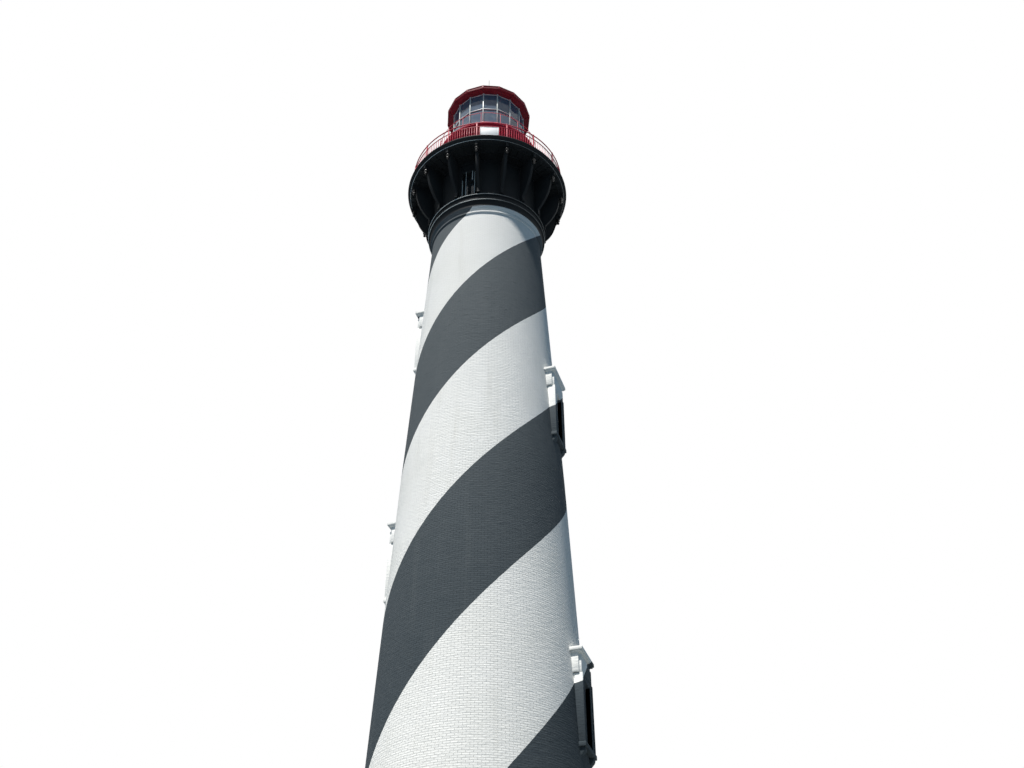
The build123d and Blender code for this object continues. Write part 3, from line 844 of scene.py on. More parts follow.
def lit_side_paint(name, tone, lit_tone):
    """Grey iron paint, painted pale on the side the lamp lights: a painted highlight."""
    made, tree, shader = material(name, 0.5)
    x, y, _ = split(tree, own_place(tree))
    # Painted highlight: the colour turns pale towards the side the lamp lights.
    shade_side = calc(tree, "ADD", x, calc(tree, "MULTIPLY", y, 0.6))
    tree.links.new(layer(tree, lit_tone, tone, shade_side, -1.0, 0.4), shader.inputs["Base Color"])
    return made


# Painted highlight: grey beads, painted pale on the side the lamp lights.
painted_highlight_grey = lit_side_paint("painted_highlight_grey", linear(88, 94, 96), linear(216, 222, 220))
beads = [pipe(top_lip_radius - 0.008, band_top + 0.004, bead_thickness, 160, 6),
         pipe(lip_radius - 0.006, cove_top + 0.004, bead_thickness, 160, 6)]
settle(join(beads), "cornice_beads", painted_highlight_grey, "black_iron")

# Service room wall: iron plates on the round, with a base band, a head band, and a pilaster behind
# every bracket where two plates lap, riveted down both sides.
bays = 16
bay = tau / bays
corners = [bay / 2 + bay * i for i in range(bays)]
service_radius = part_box("service_wall_face_segments")[1].x
deck_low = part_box("gallery_deck")[0].z
plate_sink = 0.01
pilaster_half = 0.052 / service_radius
pilaster_face = service_radius + 0.012
rivet_rows = 14
rivet_side = 0.036 / service_radius
rivet_step = (deck_low - cornice_top - 0.2) / (rivet_rows - 1)


def ring(inner, outer, low, high, sides=128, phase=0.0):
    """A flat ring between two radii and two heights."""
    return lathed([(inner, low), (outer, low), (outer, high), (inner, high)], sides, phase)


def plate_band(radius, out, low, high):
    """A band of flat iron round a wall, standing out from it by an amount."""
    return eased(ring(radius - plate_sink, radius + out, low, high), 0.004)


def rivet_column(size, face, heights, aside):
    """Two rows of rivets up a lap, one on each side of its middle by an angle."""
    column = []
    for height in heights:
        for turn in (-aside, aside):
            rivet = ball(size, (face, 0, height), (0.6, 1, 1), 6)
            column.append(moved(rivet, Matrix.Rotation(turn, 4, "Z")))
    return join(column)


finish_node(black_paint, "service_wall_face_segments", "service_wall_corner_segments")
pilaster = arc_block(service_radius - plate_sink, pilaster_face, cornice_top, deck_low,
                     -pilaster_half, pilaster_half, 2)
wall_parts = [turned(eased(pilaster, 0.003), corners)]
wall_parts.append(plate_band(service_radius, 0.018, cornice_top, cornice_top + 0.055))
wall_parts.append(plate_band(service_radius, 0.018, deck_low - 0.075, deck_low))
wall_parts.append(plate_band(service_radius, 0.01, deck_low - 0.1, deck_low - 0.085))
rivet_heights = [cornice_top + 0.085 + i * rivet_step for i in range(rivet_rows)]
wall_parts.append(turned(rivet_column(0.0065, pilaster_face, rivet_heights, rivet_side), corners))
settle(smooth(join(wall_parts)), "service_room_plates", black_paint, "black_iron")

# Service room window: a black iron frame that stands proud of the plates, with a low arched head, a
# mullion, a transom and thin casement frames. It lights the room under the gallery.
window_low = cornice_top + 0.02
window_high = window_low + 0.78
window_side = 0.165
transom = window_high - 0.25
frame_face = service_radius + 0.034
frame_back = frame_face - 0.104
frame_border = 0.024
bar_face = frame_back + 0.024
bar_half = 0.008
casement_bar = 0.012
casement_sink = 0.004
lights = []
for side in (-1, 1):
    near, far = span(side, window_side - frame_border, window_side)
    lights.append(block((frame_back, near, window_low), (frame_face, far, window_high), 0.003))
lights.append(slab(frame_back, frame_face + 0.01, window_side, window_low, window_low + frame_border, 0.004))
lights.append(slab(frame_back, frame_face, window_side, window_high - frame_border, window_high, 0.003))
arch_outline = [(-window_side, 0.0), (window_side, 0.0)]
arch_outline += [(window_side * cos(pi * i / 8), 0.012 + 0.045 * sin(pi * i / 8)) for i in range(9)]
arch = plate([(out, up + window_high) for out, up in arch_outline], 0.03)
arch_place = Matrix.Translation((frame_face - 0.015, 0, 0)) @ Matrix.Rotation(pi / 2, 4, "Z")
lights.append(eased(moved(arch, arch_place), 0.003))
lights.append(slab(frame_back, bar_face, bar_half, window_low, window_high, 0.003))
lights.append(slab(frame_back, bar_face, window_side, transom - bar_half, transom + bar_half, 0.003))
casement_back = frame_back - casement_sink
casement_face = bar_face - casement_sink
for side in (-1, 1):
    near, far = span(side, 0.02, window_side - frame_border - 0.004)
    for low, high in ((window_low + 0.03, transom - 0.014), (transom + 0.014, window_high - 0.03)):
        for left, right in ((near, near + casement_bar), (far - casement_bar, far)):
            lights.append(block((casement_back, left, low), (casement_face, right, high), 0.002))
        for bottom, top in ((low, low + casement_bar), (high - casement_bar, high)):
            lights.append(block((casement_back, near, bottom), (casement_face, far, top), 0.002))
service_window = smooth(moved(join(lights), face_front))
settle(service_window, "service_window", black_paint, "black_iron", "service_window_frame")

# Window strips: thin pale iron strips, screwed on from outside, that hold the panes of the service
# room window. Each is given by its place across the window, its half width and its two ends.
window_strips = ((-0.13, 0.005, 0.02, 0.54), (-0.05, 0.005, 0.02, 0.8), (0.1, 0.01, 0.5, 0.79),
                 (0.155, 0.006, 0.03, 0.74))
cross_strip_half = 0.15
cross_strip_width = 0.008
pale_paint = iron_paint("pale_paint", linear(206, 210, 206), linear(168, 172, 168), 0.4)
strips = []
for place, half, bottom, top in window_strips:
    low = (frame_face - 0.012, place - half, window_low + bottom)
    strips.append(block(low, (frame_face + 0.004, place + half, window_low + top), 0.002, 1))
for level in (window_low + 0.03, window_low + 0.76):
    strips.append(slab(frame_face - 0.02, frame_face - 0.012, cross_strip_half,
                       level, level + cross_strip_width, 0.002, 1))
settle(moved(join(strips), face_front), "service_window_strips", pale_paint, "pale_iron")

# Gallery brackets: sixteen iron castings from the cornice to the rim of the deck. A thin web with a
# round eye is stiffened by a wide flange along its hollow lower edge and by flanges at its ends, and
# each is bolted down through its foot to the cornice.
bracket_outer = 1.765
bracket_end = deck_low - 0.12
bracket_seat = bracket_outer - 0.096
bracket_toe = service_radius + 0.11
bracket_toe_top = cornice_top + 0.17
bracket_hollow = 0.092
bracket_wall = service_radius - 0.005
bracket_foot = 0.02
flange_half = 0.03
flange = 0.014
web_half = 0.012
eye_radius = 0.11
eye_thickness = 0.022
bolts_out = (0.045, 0.085)
bolts_aside = (-0.02, 0.02)


def hollow_edge(inset, steps=14):
    """Points down the bracket's hollow lower edge, moved up into the web by an inset."""
    start = Vector((bracket_seat - inset * 0.2, bracket_end + inset))
    end = Vector((bracket_toe - inset, bracket_toe_top + inset * 0.2))
    chord = (end - start).length
    out = Vector(((end - start).y, -(end - start).x)).normalized()
    radius = (chord ** 2 / 4 + bracket_hollow ** 2) / (2 * bracket_hollow)
    half_turn = asin(chord / 2 / radius)
    along = (end - start).normalized()
    points = []
    for i in range(steps + 1):
        turn = half_turn * (2 * i / steps - 1)
        rise = radius * (cos(turn) - cos(half_turn))
        points.append(tuple(start + along * (chord / 2 + radius * sin(turn)) - out * rise))
    return points


web_outline = [(bracket_wall, cornice_top), (bracket_wall, deck_low), (bracket_outer - 0.01, deck_low),
               (bracket_outer - 0.01, bracket_end)] + hollow_edge(0.004)
web_outline += [(bracket_toe - 0.004, cornice_top)]
web = plate(web_outline, 2 * web_half)
edge_band = plate(hollow_edge(0.0) + hollow_edge(flange)[::-1], 2 * flange_half)
bracket_parts = [
    eased(web, 0.002),
    eased(edge_band, 0.003),
    slab(bracket_seat - 0.002, bracket_outer, flange_half, bracket_end, bracket_end + flange, 0.003),
    slab(bracket_outer - flange, bracket_outer, flange_half, bracket_end, deck_low, 0.003),
    slab(bracket_wall, bracket_outer, flange_half, deck_low - flange, deck_low, 0.003),
    slab(bracket_toe - flange, bracket_toe, flange_half, cornice_top, bracket_toe_top + 0.006, 0.003),
    slab(bracket_wall, bracket_toe + 0.012, flange_half, cornice_top, cornice_top + bracket_foot, 0.004),
]
eye_place = (service_radius + 0.2, 0, deck_low - 0.2)
bracket_parts.append(hoop(eye_place, eye_radius, eye_thickness, (pi / 2, 0, 0), 32))
for out in bolts_out:
    for side in bolts_aside:
        bolt_place = (service_radius + out, side, cornice_top + bracket_foot)
        bracket_parts.append(ball(0.007, bolt_place, (1, 1, 0.6), 6))
bracket = smooth(join(bracket_parts))
settle(turned(bracket, corners), "bracket_castings", black_paint, "black_iron", "gallery_brackets")

# Drops: turned iron pendants with a large and a small knob, painted gloss black and screwed up into
# the outer ends of the brackets.
drop_place = bracket_outer - 0.048
pendant_outline = [(0.026, 0.0), (0.026, -0.01), (0.02, -0.014), (0.02, -0.028), (0.03, -0.036),
                   (0.041, -0.048), (0.044, -0.06), (0.041, -0.072), (0.031, -0.084), (0.021, -0.096),
                   (0.018, -0.106), (0.022, -0.118), (0.03, -0.13), (0.033, -0.142), (0.03, -0.154),
                   (0.021, -0.165), (0.012, -0.173), (0.006, -0.18)]
pendant = lathed([(r, bracket_end + up) for r, up in pendant_outline], 20, closed=False)
pendant = smooth(moved(pendant, Matrix.Translation((drop_place, 0, 0))), 50)
gloss_black = iron_paint("gloss_black", linear(18, 19, 20), linear(34, 36, 38), 0.24, 0.3)
settle(turned(pendant, corners), "pendant_drops", gloss_black, "black_iron", "bracket_drops")

# Gallery deck: iron plates on the brackets. The rim slopes in from a rolled lip at the top to a small
# one below with a drip bead, which is painted pale on the side the lamp lights, a painted highlight.
# Ribs and two ring beams stiffen the plates underneath.
deck_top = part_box("gallery_deck")[1].z
deck_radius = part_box("gallery_deck")[1].x
deck_inner = 0.875
deck_lip = 0.022
deck_lip_reach = 0.014
deck_kerb_top = deck_top + 0.018
deck_band = deck_radius - deck_lip_reach
low_band = deck_band - 0.065
rib_depth = 0.022
rib_end = 1.75
beam_radii = (1.43, 1.66)
beam_width = 0.014
deck_studs = 96
deck_profile = [(deck_inner, deck_low), (low_band - 0.02, deck_low)]
deck_profile += rolled(low_band, deck_low, deck_low + deck_lip, deck_lip_reach)
deck_profile += rolled(deck_band, deck_top - deck_lip, deck_kerb_top, deck_lip_reach)
deck_profile += [(deck_band - 0.02, deck_kerb_top), (deck_band - 0.024, deck_top), (deck_inner, deck_top)]
deck_parts = [smooth(lathed(deck_profile, 192), 40)]
for count, half, first in ((bays, 0.008, 0.0), (2 * bays, 0.005, bay / 4)):
    rib = slab(service_radius, rib_end, half, deck_low - rib_depth, deck_low + 0.002, 0.002)
    deck_parts.append(turned(rib, [first + tau * i / count for i in range(count)]))
for radius in beam_radii:
    beam = ring(radius, radius + beam_width, deck_low - rib_depth - 0.006, deck_low + 0.002)
    deck_parts.append(eased(beam, 0.002))
deck_stud = ball(0.008, (deck_band - 0.032, 0, (deck_low + deck_top) / 2), (0.6, 1, 1), 6)
deck_parts.append(turned(deck_stud, [tau * i / deck_studs for i in range(deck_studs)]))
settle(join(deck_parts), "deck_plates", black_paint, "black_iron", "gallery_deck")
rim_bead = pipe(low_band + 0.014, deck_low + 0.024, bead_thickness, 192, 6)
settle(rim_bead, "deck_rim_bead", painted_highlight_grey, "black_iron")

# Watch room floor: iron plates laid on the deck's inner rim, inside the wall. Their grey paint has
# worn brown in patches.
worn_iron = iron_paint("worn_iron", linear(70, 70, 70), linear(112, 100, 88), 0.55)
finish_node(worn_iron, "watch_floor")

# Gallery railing: square posts on bolted feet over the brackets, each with a collar and a ball cap,
# a round top rail, and between the posts a panel of turned balusters under a flat rail.
rail_radius = deck_radius - 0.115
post_half = 0.013
post_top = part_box("railing_posts")[1].z
post_foot = 0.01
post_bolts = 0.021
collar_half = 0.018
collar_height = 0.012
top_rail = deck_top + 0.58
top_rail_thickness = 0.026
second_rail = deck_top + 0.445
bottom_rail = deck_top + 0.04
flat_rail_half = 0.009
balusters = 11
baluster_radius = 0.0055
baluster_swell = 0.009
# Painted light: this red is made lighter than the real paint, to make up for the shade it stands in.
red_paint = iron_paint("red_paint", linear(196, 48, 70), linear(206, 92, 108), 0.45, 0.15)
# Painted highlight: a pale pink copy of the red for the posts, stanchions and lantern rail, for the glint of
# light on them.
highlit_red_paint = iron_paint("highlit_red_paint", linear(204, 96, 106), linear(220, 156, 158), 0.5, 0.15)
post_parts = [slab(-post_half, post_half, post_half, deck_top, post_top - 0.012, 0.003)]
for low, height, half in ((deck_top, post_foot, 0.03), (second_rail - 0.012, collar_height, collar_half),
                          (top_rail - 0.02, collar_height, collar_half)):
    post_parts.append(slab(-half, half, half, low, low + height, 0.003))
post_parts.append(ball(0.019, (0, 0, post_top - 0.002), (1, 1, 0.85)))
for out in (-post_bolts, post_bolts):
    for side in (-post_bolts, post_bolts):
        post_parts.append(ball(0.005, (out, side, deck_top + post_foot), (1, 1, 0.6), 6))
on_rail = Matrix.Translation((rail_radius, 0, 0))
gallery_posts = turned(smooth(moved(join(post_parts), on_rail)), corners)
settle(gallery_posts, "gallery_posts", highlit_red_paint, "red_iron", "railing_posts")

gallery_rail = pipe(rail_radius, top_rail, top_rail_thickness)
settle(gallery_rail, "gallery_top_rail", red_paint, "red_iron", "railing_top_rails")
panel_parts = []
for height in (second_rail, bottom_rail):
    inner, outer = rail_radius - flat_rail_half, rail_radius + flat_rail_half
    panel_parts.append(eased(ring(inner, outer, height - 0.006, height + 0.006, 160), 0.002, 1))
baluster_outline = [(baluster_radius, deck_top), (baluster_radius, bottom_rail + 0.006),
                    (baluster_swell, bottom_rail + 0.014), (baluster_radius, bottom_rail + 0.024),
                    (baluster_radius, deck_top + 0.225), (baluster_swell, deck_top + 0.24),
                    (baluster_radius, deck_top + 0.255), (baluster_radius, second_rail)]
baluster = moved(smooth(lathed(baluster_outline, 6, closed=False), 50), on_rail)
bay_places = [-bay / 2 + bay * i / (balusters + 1) for i in range(1, balusters + 1)]
panel_parts.append(turned(baluster, [bay * k + place for k in range(bays) for place in bay_places]))
settle(smooth(join(panel_parts)), "gallery_balusters", red_paint, "red_iron", "railing_panels")

# Board: a plain painted sheet in a thin angle frame with a screw at each corner, clipped to the
# balusters of one railing panel.
board_turn = -3 * bay - bay / (balusters + 1)
board_back = rail_radius + 0.005
board_half = 0.205
board_low = deck_top + 0.13
board_high = board_low + 0.275
board_frame = 0.012
sheet_inset = 0.004
screw_inset = 0.03
white_sheet = iron_paint("white_sheet", linear(226, 228, 228), linear(206, 208, 206), 0.5)
sheet_parts = [slab(board_back, board_back + 0.006, board_half - sheet_inset,
                    board_low + sheet_inset, board_high - sheet_inset, 0.001)]
for near, far, bottom, top in ((-board_half, board_half, board_low, board_low + board_frame),
                               (-board_half, board_half, board_high - board_frame, board_high),
                               (-board_half, -board_half + board_frame, board_low, board_high),
                               (board_half - board_frame, board_half, board_low, board_high)):
    sheet_parts.append(block((board_back, near, bottom), (board_back + 0.01, far, top), 0.002))
for side in (-1, 1):
    for up in (board_low + screw_inset, board_high - screw_inset):
        screw_place = (board_back + 0.007, side * (board_half - screw_inset), up)
        sheet_parts.append(ball(0.006, screw_place, (0.6, 1, 1), 8))
board = smooth(moved(join(sheet_parts), Matrix.Rotation(board_turn, 4, "Z")))
settle(board, "plain_sheet", white_sheet, "white_board", "plain_board")

# Watch room wall: red iron plates on the round, with a strip riveted over each joint, a base and a
# head moulding, and a thin band at the height of a sill.
watch_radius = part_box("watch_wall_face_segments")[1].x
lantern_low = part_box("lantern_deck")[0].z
watch_strip_half = 0.035 / watch_radius
watch_strip_face = watch_radius + 0.008
watch_rivet_side = 0.022 / watch_radius
watch_rivet_rows = 15
watch_rivet_step = 0.0765
finish_node(red_paint, "watch_wall_face_segments", "watch_wall_corner_segments")
watch_strip = arc_block(watch_radius - plate_sink, watch_strip_face, deck_top, lantern_low,
                        -watch_strip_half, watch_strip_half, 2)
watch_parts = [turned(eased(watch_strip, 0.002), corners)]
watch_parts.append(plate_band(watch_radius, 0.016, deck_top, deck_top + 0.07))
watch_parts.append(plate_band(watch_radius, 0.016, lantern_low - 0.06, lantern_low))
watch_parts.append(plate_band(watch_radius, 0.01, deck_top + 0.62, deck_top + 0.645))
watch_rivet_heights = [deck_top + 0.1 + i * watch_rivet_step for i in range(watch_rivet_rows)]
watch_rivets = rivet_column(0.006, watch_strip_face, watch_rivet_heights, watch_rivet_side)
clear_of_door = [corner for corner in corners if abs(corner - pi / 2) > bay]
watch_parts.append(turned(watch_rivets, clear_of_door))
settle(smooth(join(watch_parts)), "watch_room_plates", red_paint, "red_iron")

# Gallery door: a timber door with a sunk panel and a handle, painted red with the wall. It is hung on
# two strap hinges in a flat frame at the back of the watch room.
hatch_half = 0.165
hatch_top = deck_top + 0.9
hatch_face = watch_radius - 0.03
hatch_border = 0.03
hatch_back = watch_radius - 0.05
hatch_side = hatch_half + hatch_border
hatch_hinges = (deck_top + 0.16, deck_top + 0.74)
low = (hatch_face - 0.03, -hatch_half, deck_top)
hatch = [sunk_panel(low, (hatch_face, hatch_half, hatch_top), 0.03, 0.006, 0.002)]
for near, far in ((-hatch_side, -hatch_half), (hatch_half, hatch_side)):
    high = (watch_radius + 0.022, far, hatch_top + hatch_border)
    hatch.append(block((hatch_back, near, deck_top), high, 0.003))
hatch.append(slab(hatch_back, watch_radius + 0.024, hatch_side, hatch_top, hatch_top + 0.035, 0.003))
for up in hatch_hinges:
    low = (hatch_face - 0.004, -hatch_half + 0.004, up)
    hatch.append(block(low, (hatch_face + 0.006, -hatch_half + 0.12, up + 0.022), 0.002))
low = (hatch_face, hatch_half - 0.05, deck_top + 0.42)
hatch.append(block(low, (hatch_face + 0.02, hatch_half - 0.035, deck_top + 0.5), 0.004))
gallery_hatch = smooth(moved(join(hatch), Matrix.Rotation(pi / 2, 4, "Z")))
settle(gallery_hatch, "gallery_hatch", red_paint, "painted_timber", "gallery_door")

# Lantern deck: a red iron plate with a rolled edge, which caps the watch room and is carried past its
# wall on sixteen short cantilever ribs.
lantern_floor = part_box("lantern_deck")[1].z
lantern_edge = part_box("lantern_deck")[1].x
edge_profile = [(0.02, lantern_low), (lantern_edge - 0.02, lantern_low)]
edge_profile += rolled(lantern_edge - 0.012, lantern_low + 0.006, lantern_low + 0.03, 0.012)
edge_profile += [(lantern_edge - 0.014, lantern_floor - 0.014), (lantern_edge - 0.002, lantern_floor - 0.012),
                 (lantern_edge - 0.002, lantern_floor), (0.02, lantern_floor)]
small_rib = plate([(watch_radius, lantern_low - 0.12), (watch_radius + 0.03, lantern_low - 0.11),
                   (watch_radius + 0.09, lantern_low - 0.05), (lantern_edge - 0.03, lantern_low - 0.02),
                   (lantern_edge - 0.03, lantern_low + 0.002), (watch_radius, lantern_low + 0.002)], 0.016)
ribs = turned(eased(small_rib, 0.002), corners)
lantern_plate = smooth(join([lathed(edge_profile, 128, closed=False), ribs]), 40)
settle(lantern_plate, "lantern_deck_plate", red_paint, "red_iron", "lantern_deck")

# Lantern rail: round iron stanchions, each with a foot screwed to the lantern deck and a knob where
# the one round rail passes through.
lantern_rail_radius = lantern_edge - 0.03
rail_height = lantern_floor + 0.385
stanchion_outline = [(0.02, lantern_floor), (0.02, lantern_floor + 0.008), (0.007, lantern_floor + 0.014),
                     (0.007, rail_height)]
stanchion = join([lathed(stanchion_outline, 10, closed=False), ball(0.014, (0, 0, rail_height), sides=10)])
stanchion = moved(stanchion, Matrix.Translation((lantern_rail_radius, 0, 0)))
stanchions = turned(smooth(stanchion, 50), corners)
settle(stanchions, "lantern_stanchions", highlit_red_paint, "red_iron", "lantern_rail_posts")
lantern_pipe = pipe(lantern_rail_radius, rail_height, 0.014, 128, 6)
settle(lantern_pipe, "lantern_pipe", highlit_red_paint, "red_iron", "lantern_rails")

# Lantern parapet: sixteen red iron plates, each with a sunk panel and a small round ventilator, the
# corners covered by angle strips.
flat_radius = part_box("lantern_parapet")[1].x
glass_radius = flat_radius / cos(bay / 2)
parapet_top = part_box("lantern_parapet")[1].z
parapet_inner = glass_radius - 0.045
corner_strip_half = 0.016
flats = [bay * i for i in range(bays)]
vent_outline = [(0.032, 0.0), (0.032, 0.008), (0.024, 0.014), (0.01, 0.014)]
parapet = ring(parapet_inner, glass_radius, lantern_floor, parapet_top, bays, bay / 2)
pick_faces(parapet, lambda face: abs(face.normal.z) < 0.1 and face.normal.dot(face.center) > 0)
bpy.ops.mesh.inset(thickness=0.035, depth=0, use_individual=True)
bpy.ops.mesh.inset(thickness=0.006, depth=-0.006, use_individual=True)
bpy.ops.mesh.select_mode(type="VERT")
close_up()
corner_strip = slab(glass_radius - 0.012, glass_radius + 0.004, corner_strip_half,
                    lantern_floor, parapet_top, 0.004)
vent = lathed(vent_outline, 16, closed=False)
vent_place = Matrix.Translation((flat_radius - 0.006, 0, lantern_floor + 0.2))
vent = moved(vent, vent_place @ Matrix.Rotation(pi / 2, 4, "Y"))
parapet_parts = [parapet, turned(corner_strip, corners), turned(vent, flats)]
settle(smooth(join(parapet_parts)), "parapet_plates", red_paint, "red_iron", "lantern_parapet")

# Glazing sill: a moulded red iron ring, bolted down on the parapet, that carries the glazing and
# throws the rain clear.
sill_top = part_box("lantern_sill")[1].z
sill_out = glass_radius + 0.022
sill_profile = [(parapet_inner, parapet_top), (sill_out - 0.006, parapet_top),
                (sill_out, parapet_top + 0.006), (sill_out, parapet_top + 0.016),
                (glass_radius, sill_top), (parapet_inner, sill_top)]
settle(lathed(sill_profile, bays, bay / 2), "glazing_sill", red_paint, "red_iron", "lantern_sill")

# Mullions: pale iron bars at the corners with a rounded nose outside, a glazing rebate behind, and a
# foot at each end that is screwed to the sill and the head.
glazing_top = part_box("lantern_mullions")[1].z
nose_side = [(0.05, 0.008), (0.022, 0.008), (0.022, 0.015), (0.008, 0.015), (0.0, 0.007)]
mullion_foot = 0.02
mullion_foot_half = 0.022
nose = [(glass_radius - inset, -half) for inset, half in nose_side]
nose += [(glass_radius - inset, half) for inset, half in reversed(nose_side)]
mullion = plate(nose, glazing_top - sill_top)
mullion_middle = Matrix.Translation((0, 0, (sill_top + glazing_top) / 2))
mullion = moved(mullion, mullion_middle @ Matrix.Rotation(-pi / 2, 4, "X"))
mullion_parts = [eased(mullion, 0.001, 1)]
for up in (sill_top - 0.002, glazing_top - 0.018):
    mullion_parts.append(slab(glass_radius - 0.055, glass_radius + 0.004, mullion_foot_half,
                              up, up + mullion_foot, 0.003))
mullions = turned(smooth(join(mullion_parts)), corners)
settle(mullions, "glazing_mullions", pale_paint, "pale_iron", "lantern_mullions")

# Glazing bars and panes: one pale iron bar across each side, thin beads where the panes meet sill and
# head, and tall panes puttied in behind them.
pane_face = flat_radius - 0.025
half_side = glass_radius * sin(bay / 2) - 0.014
bar_height = sill_top + 0.529
glazing_bar_half = 0.011
glazing_bead = 0.016
bar_parts = [slab(pane_face - 0.008, pane_face + 0.02, half_side,
                  bar_height - glazing_bar_half, bar_height + glazing_bar_half, 0.005)]
for low, high in ((sill_top, sill_top + glazing_bead), (glazing_top - glazing_bead, glazing_top)):
    bar_parts.append(slab(pane_face - 0.004, pane_face + 0.014, half_side, low, high, 0.003))
settle(turned(smooth(join(bar_parts)), flats), "glazing_bars", pale_paint, "pale_iron", "lantern_bars")
# Painted reflection and shade: the panes' blue-grey film stands for the sky they reflect and the dark lantern
# inside.
lantern_pane = window_pane("lantern_pane", linear(88, 104, 124), 0.75)
finish_node(lantern_pane, "lantern_glass")

# Soffit: red iron plates that run out from the head of the glazing to the eave, nearly flat, with a
# moulding at each end and a rib under every corner.
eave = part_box("roof_soffit")[1].z
eave_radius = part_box("roof_soffit")[1].x / cos(bay / 2)
soffit_inner = 0.78
soffit_head = glass_radius + 0.012
eave_moulding = ((0.036, 0.014), (0.03, 0.02), (0.012, 0.02), (0.004, 0.012), (0.004, 0.0))
# Painted shade: the same red paint as elsewhere, painted darker on the soffit, gutter, roof and vent ball.
shaded_red_paint = iron_paint("shaded_red_paint", linear(124, 34, 44), linear(136, 56, 64), 0.5, 0.1)
soffit_profile = [(soffit_inner, glazing_top), (soffit_head, glazing_top), (soffit_head, glazing_top + 0.014)]
soffit_profile += [(eave_radius - inset, eave - drop) for inset, drop in eave_moulding]
soffit_profile += [(soffit_inner, eave)]
soffit = lathed(soffit_profile, bays, bay / 2)
soffit_rib = plate([(glass_radius, glazing_top), (eave_radius - 0.036, eave - 0.026),
                    (eave_radius - 0.036, eave - 0.002), (glass_radius, eave - 0.002)], 0.016)
soffit = join([soffit, turned(eased(soffit_rib, 0.002), corners)])
settle(soffit, "soffit_plates", shaded_red_paint, "red_iron", "roof_soffit")

# Ceiling: pale sheet metal over the lantern, screwed up under the roof inside the soffit. It shows
# from below through the panes.
ceiling_radius = soffit_inner - 0.004
ceiling = lathed([(ceiling_radius, eave - 0.012), (ceiling_radius, eave + 0.004)], 64, closed=False)
settle(ceiling, "lantern_ceiling", pale_paint, "pale_iron")

# Gutter: a deep moulded iron gutter round the eave, cast in sixteen lengths that are lapped and bolted
# at the corners, with a bead along its lower edge and a thin lip at the top.
roof_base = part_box("roof_gutter")[1].z
gutter_back = eave_radius - 0.2
gutter_outline = [(0.004, eave), (0.0, eave + 0.004), (0.0, eave + 0.016), (0.006, eave + 0.02),
                  (0.014, eave + 0.034), (0.012, roof_base - 0.024), (0.004, roof_base - 0.014),
                  (0.0, roof_base - 0.008), (0.0, roof_base), (0.016, roof_base), (0.02, roof_base - 0.012)]
gutter_profile = [(gutter_back, eave)] + [(eave_radius - inset, height) for inset, height in gutter_outline]
gutter = lathed(gutter_profile + [(gutter_back, roof_base - 0.012)], bays, bay / 2)
gutter_lap = slab(eave_radius - 0.03, eave_radius - 0.001, 0.022, eave + 0.002, roof_base - 0.01, 0.003)
settle(join([gutter, turned(gutter_lap, corners)]), "gutter_lengths", shaded_red_paint, "red_iron", "roof_gutter")

# Roof: sixteen sheets of red iron bent up from the gutter to the vent, lapped under a round roll at
# every hip, with a flashing round the neck of the vent.
roof_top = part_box("roof")[1].z
roof_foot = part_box("roof")[1].x / cos(bay / 2)
roof_head = 0.15
roll_half = 0.011
flashing_lap = 0.02
roof_profile = [(roof_foot, roof_base - 0.012), (roof_foot, roof_base), (roof_head, roof_top)]
roof_parts = [lathed(roof_profile, bays, bay / 2, closed=False)]
slope = Vector((roof_head - roof_foot, 0, roof_top - roof_base))
roll = slab(0.01, slope.length, roll_half, -roll_half, roll_half, 0.006)
tilt = Matrix.Rotation(atan2(-slope.z, slope.x), 4, "Y")
hip = Matrix.Translation((roof_foot, 0, roof_base)) @ tilt
roof_parts.append(turned(moved(roll, hip), corners))
flashing = [(roof_head + flashing_lap, roof_top - flashing_lap), (roof_head + flashing_lap, roof_top),
            (roof_head - flashing_lap, roof_top + flashing_lap), (0.1, roof_top + flashing_lap)]
roof_parts.append(lathed(flashing, 48, closed=False))
settle(smooth(join(roof_parts), 20), "roof_sheets", shaded_red_paint, "red_iron", "roof")

# Vent ball: a spun red iron ball on a short neck, seamed round the middle, with a ring of slots under
# the seam that lets the lamp's smoke out.
vent_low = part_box("vent_ball")[0].z
vent_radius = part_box("vent_ball")[1].x
neck_radius = 0.095
neck_top = vent_low + 0.11
ball_centre = neck_top + sqrt(vent_radius ** 2 - neck_radius ** 2)
vent_slots = 24
slot_half = 0.006
vent_parts = [lathed([(neck_radius, vent_low), (neck_radius, neck_top + 0.01)], 32, closed=False)]
for height in (vent_low + 0.03, neck_top - 0.012):
    vent_parts.append(pipe(neck_radius, height, 0.016, 32, 6))
vent_parts.append(ball(vent_radius - 0.002, (0, 0, ball_centre), sides=40))
vent_parts.append(pipe(vent_radius - 0.004, ball_centre, 0.008, 64, 6))
vent_slot = slab(vent_radius - 0.014, vent_radius - 0.006, slot_half,
                 ball_centre - 0.05, ball_centre - 0.014, 0.003)
vent_parts.append(turned(vent_slot, [tau * i / vent_slots for i in range(vent_slots)]))
settle(smooth(join(vent_parts), 40), "vent_ball_shell", shaded_red_paint, "red_iron", "vent_ball")

# Lightning rod: a weathered metal spike drawn to a point, screwed into a boss on top of the ball with
# a collar over the joint.
rod_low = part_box("lightning_rod")[0].z
rod_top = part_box("lightning_rod")[1].z
rod_profile = [(0.026, rod_low), (0.026, rod_low + 0.02), (0.022, rod_low + 0.026), (0.022, rod_low + 0.05),
               (0.014, rod_low + 0.06), (0.009, rod_low + 0.07), (0.009, rod_top - 0.05), (0.002, rod_top)]
rod_grey = iron_paint("rod_grey", linear(92, 92, 88), linear(120, 118, 108), 0.45, 0.4)
settle(smooth(lathed(rod_profile, 12, closed=False), 50), "rod_spike", rod_grey, "rod_metal", "lightning_rod")

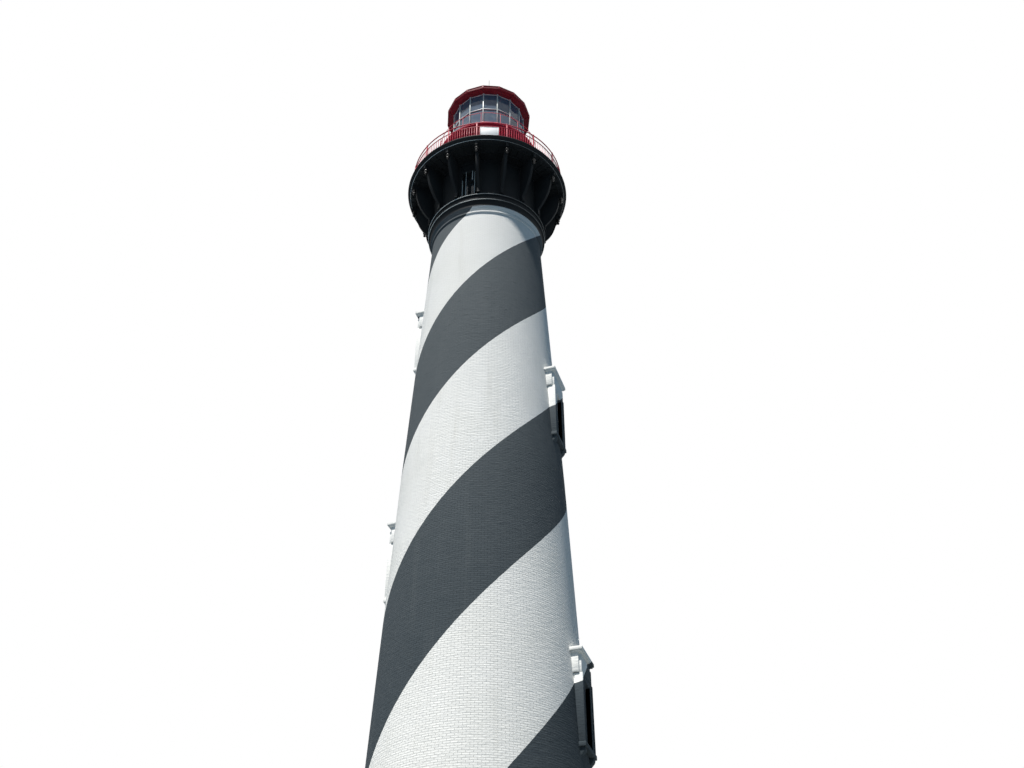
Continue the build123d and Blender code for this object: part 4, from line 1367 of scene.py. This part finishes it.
# Camera: low over the ground, to the right of the front, looking up at the lantern. Its place and
# lens are the photograph's, worked out from the taper and the rims of the gallery.
view_turn = radians(19.85)
view_distance = 17.425
view_height = 0.8
view_rise = 0.689104
view_swing = 0.0319093
view_roll = -0.00461465
focal_pixels = 1121.46
picture_pixels = 1024
sensor_width = 36
forward = Vector((sin(view_swing) * cos(view_rise), cos(view_swing) * cos(view_rise), sin(view_rise)))
level = Vector((cos(view_swing), -sin(view_swing), 0))
upward = level.cross(forward)
tilted = cos(view_roll) * level + sin(view_roll) * upward
upright = cos(view_roll) * upward - sin(view_roll) * level
axes = Matrix((tilted, upright, -forward)).transposed()
fresh()
stand = (view_distance * sin(view_turn), -view_distance * cos(view_turn), view_height)
bpy.ops.object.camera_add(location=stand)
camera = bpy.context.object
camera.rotation_euler = (Matrix.Rotation(view_turn, 3, "Z") @ axes).to_euler()
camera.data.sensor_width = sensor_width
camera.data.lens = sensor_width * focal_pixels / picture_pixels
bpy.context.scene.camera = camera

# Light: one broad lamp high on the left, and an even cool surround for fill, which looks like white
# paper to the camera and in gloss and glass.
lamp_turn = view_turn + radians(-31)
lamp_rise = radians(66)
lamp_width = radians(3)
lamp_power = 6.8
lamp_colour = (1.0, 0.97, 0.93)
sky_power = 0.27
sky_colour = (0.46, 0.72, 1.0, 1)
bpy.ops.object.light_add(type="SUN", location=(0, 0, 30))
lamp = bpy.context.object
toward = Vector((sin(lamp_turn) * cos(lamp_rise), -cos(lamp_turn) * cos(lamp_rise), sin(lamp_rise)))
lamp.rotation_euler = toward.to_track_quat("Z", "Y").to_euler()
lamp.data.energy = lamp_power
lamp.data.color = lamp_colour
lamp.data.angle = lamp_width


def seen_straight(tree):
    """1 for what the camera sees itself, in gloss or through glass, and 0 for the light it gives."""
    rays = tree.nodes.new("ShaderNodeLightPath")
    mirrored = calc(tree, "MAXIMUM", rays.outputs["Is Glossy Ray"], rays.outputs["Is Transmission Ray"])
    return calc(tree, "MAXIMUM", rays.outputs["Is Camera Ray"], mirrored)


world = bpy.data.worlds.new("studio")
bpy.context.scene.world = world
world.use_nodes = True
sky = world.node_tree
sky_light = sky.nodes["Background"]
sky_light.inputs["Color"].default_value = sky_colour
sky_light.inputs["Strength"].default_value = sky_power
paper = sky.nodes.new("ShaderNodeBackground")
paper.inputs["Color"].default_value = (1, 1, 1, 1)
either = sky.nodes.new("ShaderNodeMixShader")
sky.links.new(seen_straight(sky), either.inputs[0])
sky.links.new(sky_light.outputs[0], either.inputs[1])
sky.links.new(paper.outputs[0], either.inputs[2])
sky.links.new(either.outputs[0], sky.nodes["World Output"].inputs["Surface"])
bpy.context.scene.view_settings.view_transform = "Standard"

# Floor: a plain pale ground for the shadow. To what stands on it, it gives back only as much light as
# real ground does.
floor_radius = 14
floor_drop = 0.002
fresh()
bpy.ops.mesh.primitive_circle_add(vertices=96, radius=floor_radius, fill_type="NGON",
                                  location=(0, 0, -floor_drop))
floor = bpy.context.object
floor.name = "floor"
pale, pale_tree, pale_shader = material("floor_paper", 0.9)
ground_tone = mix(pale_tree, seen_straight(pale_tree), linear(130, 132, 128), linear(226, 226, 224))
pale_tree.links.new(ground_tone, pale_shader.inputs["Base Color"])
floor.data.materials.append(pale)
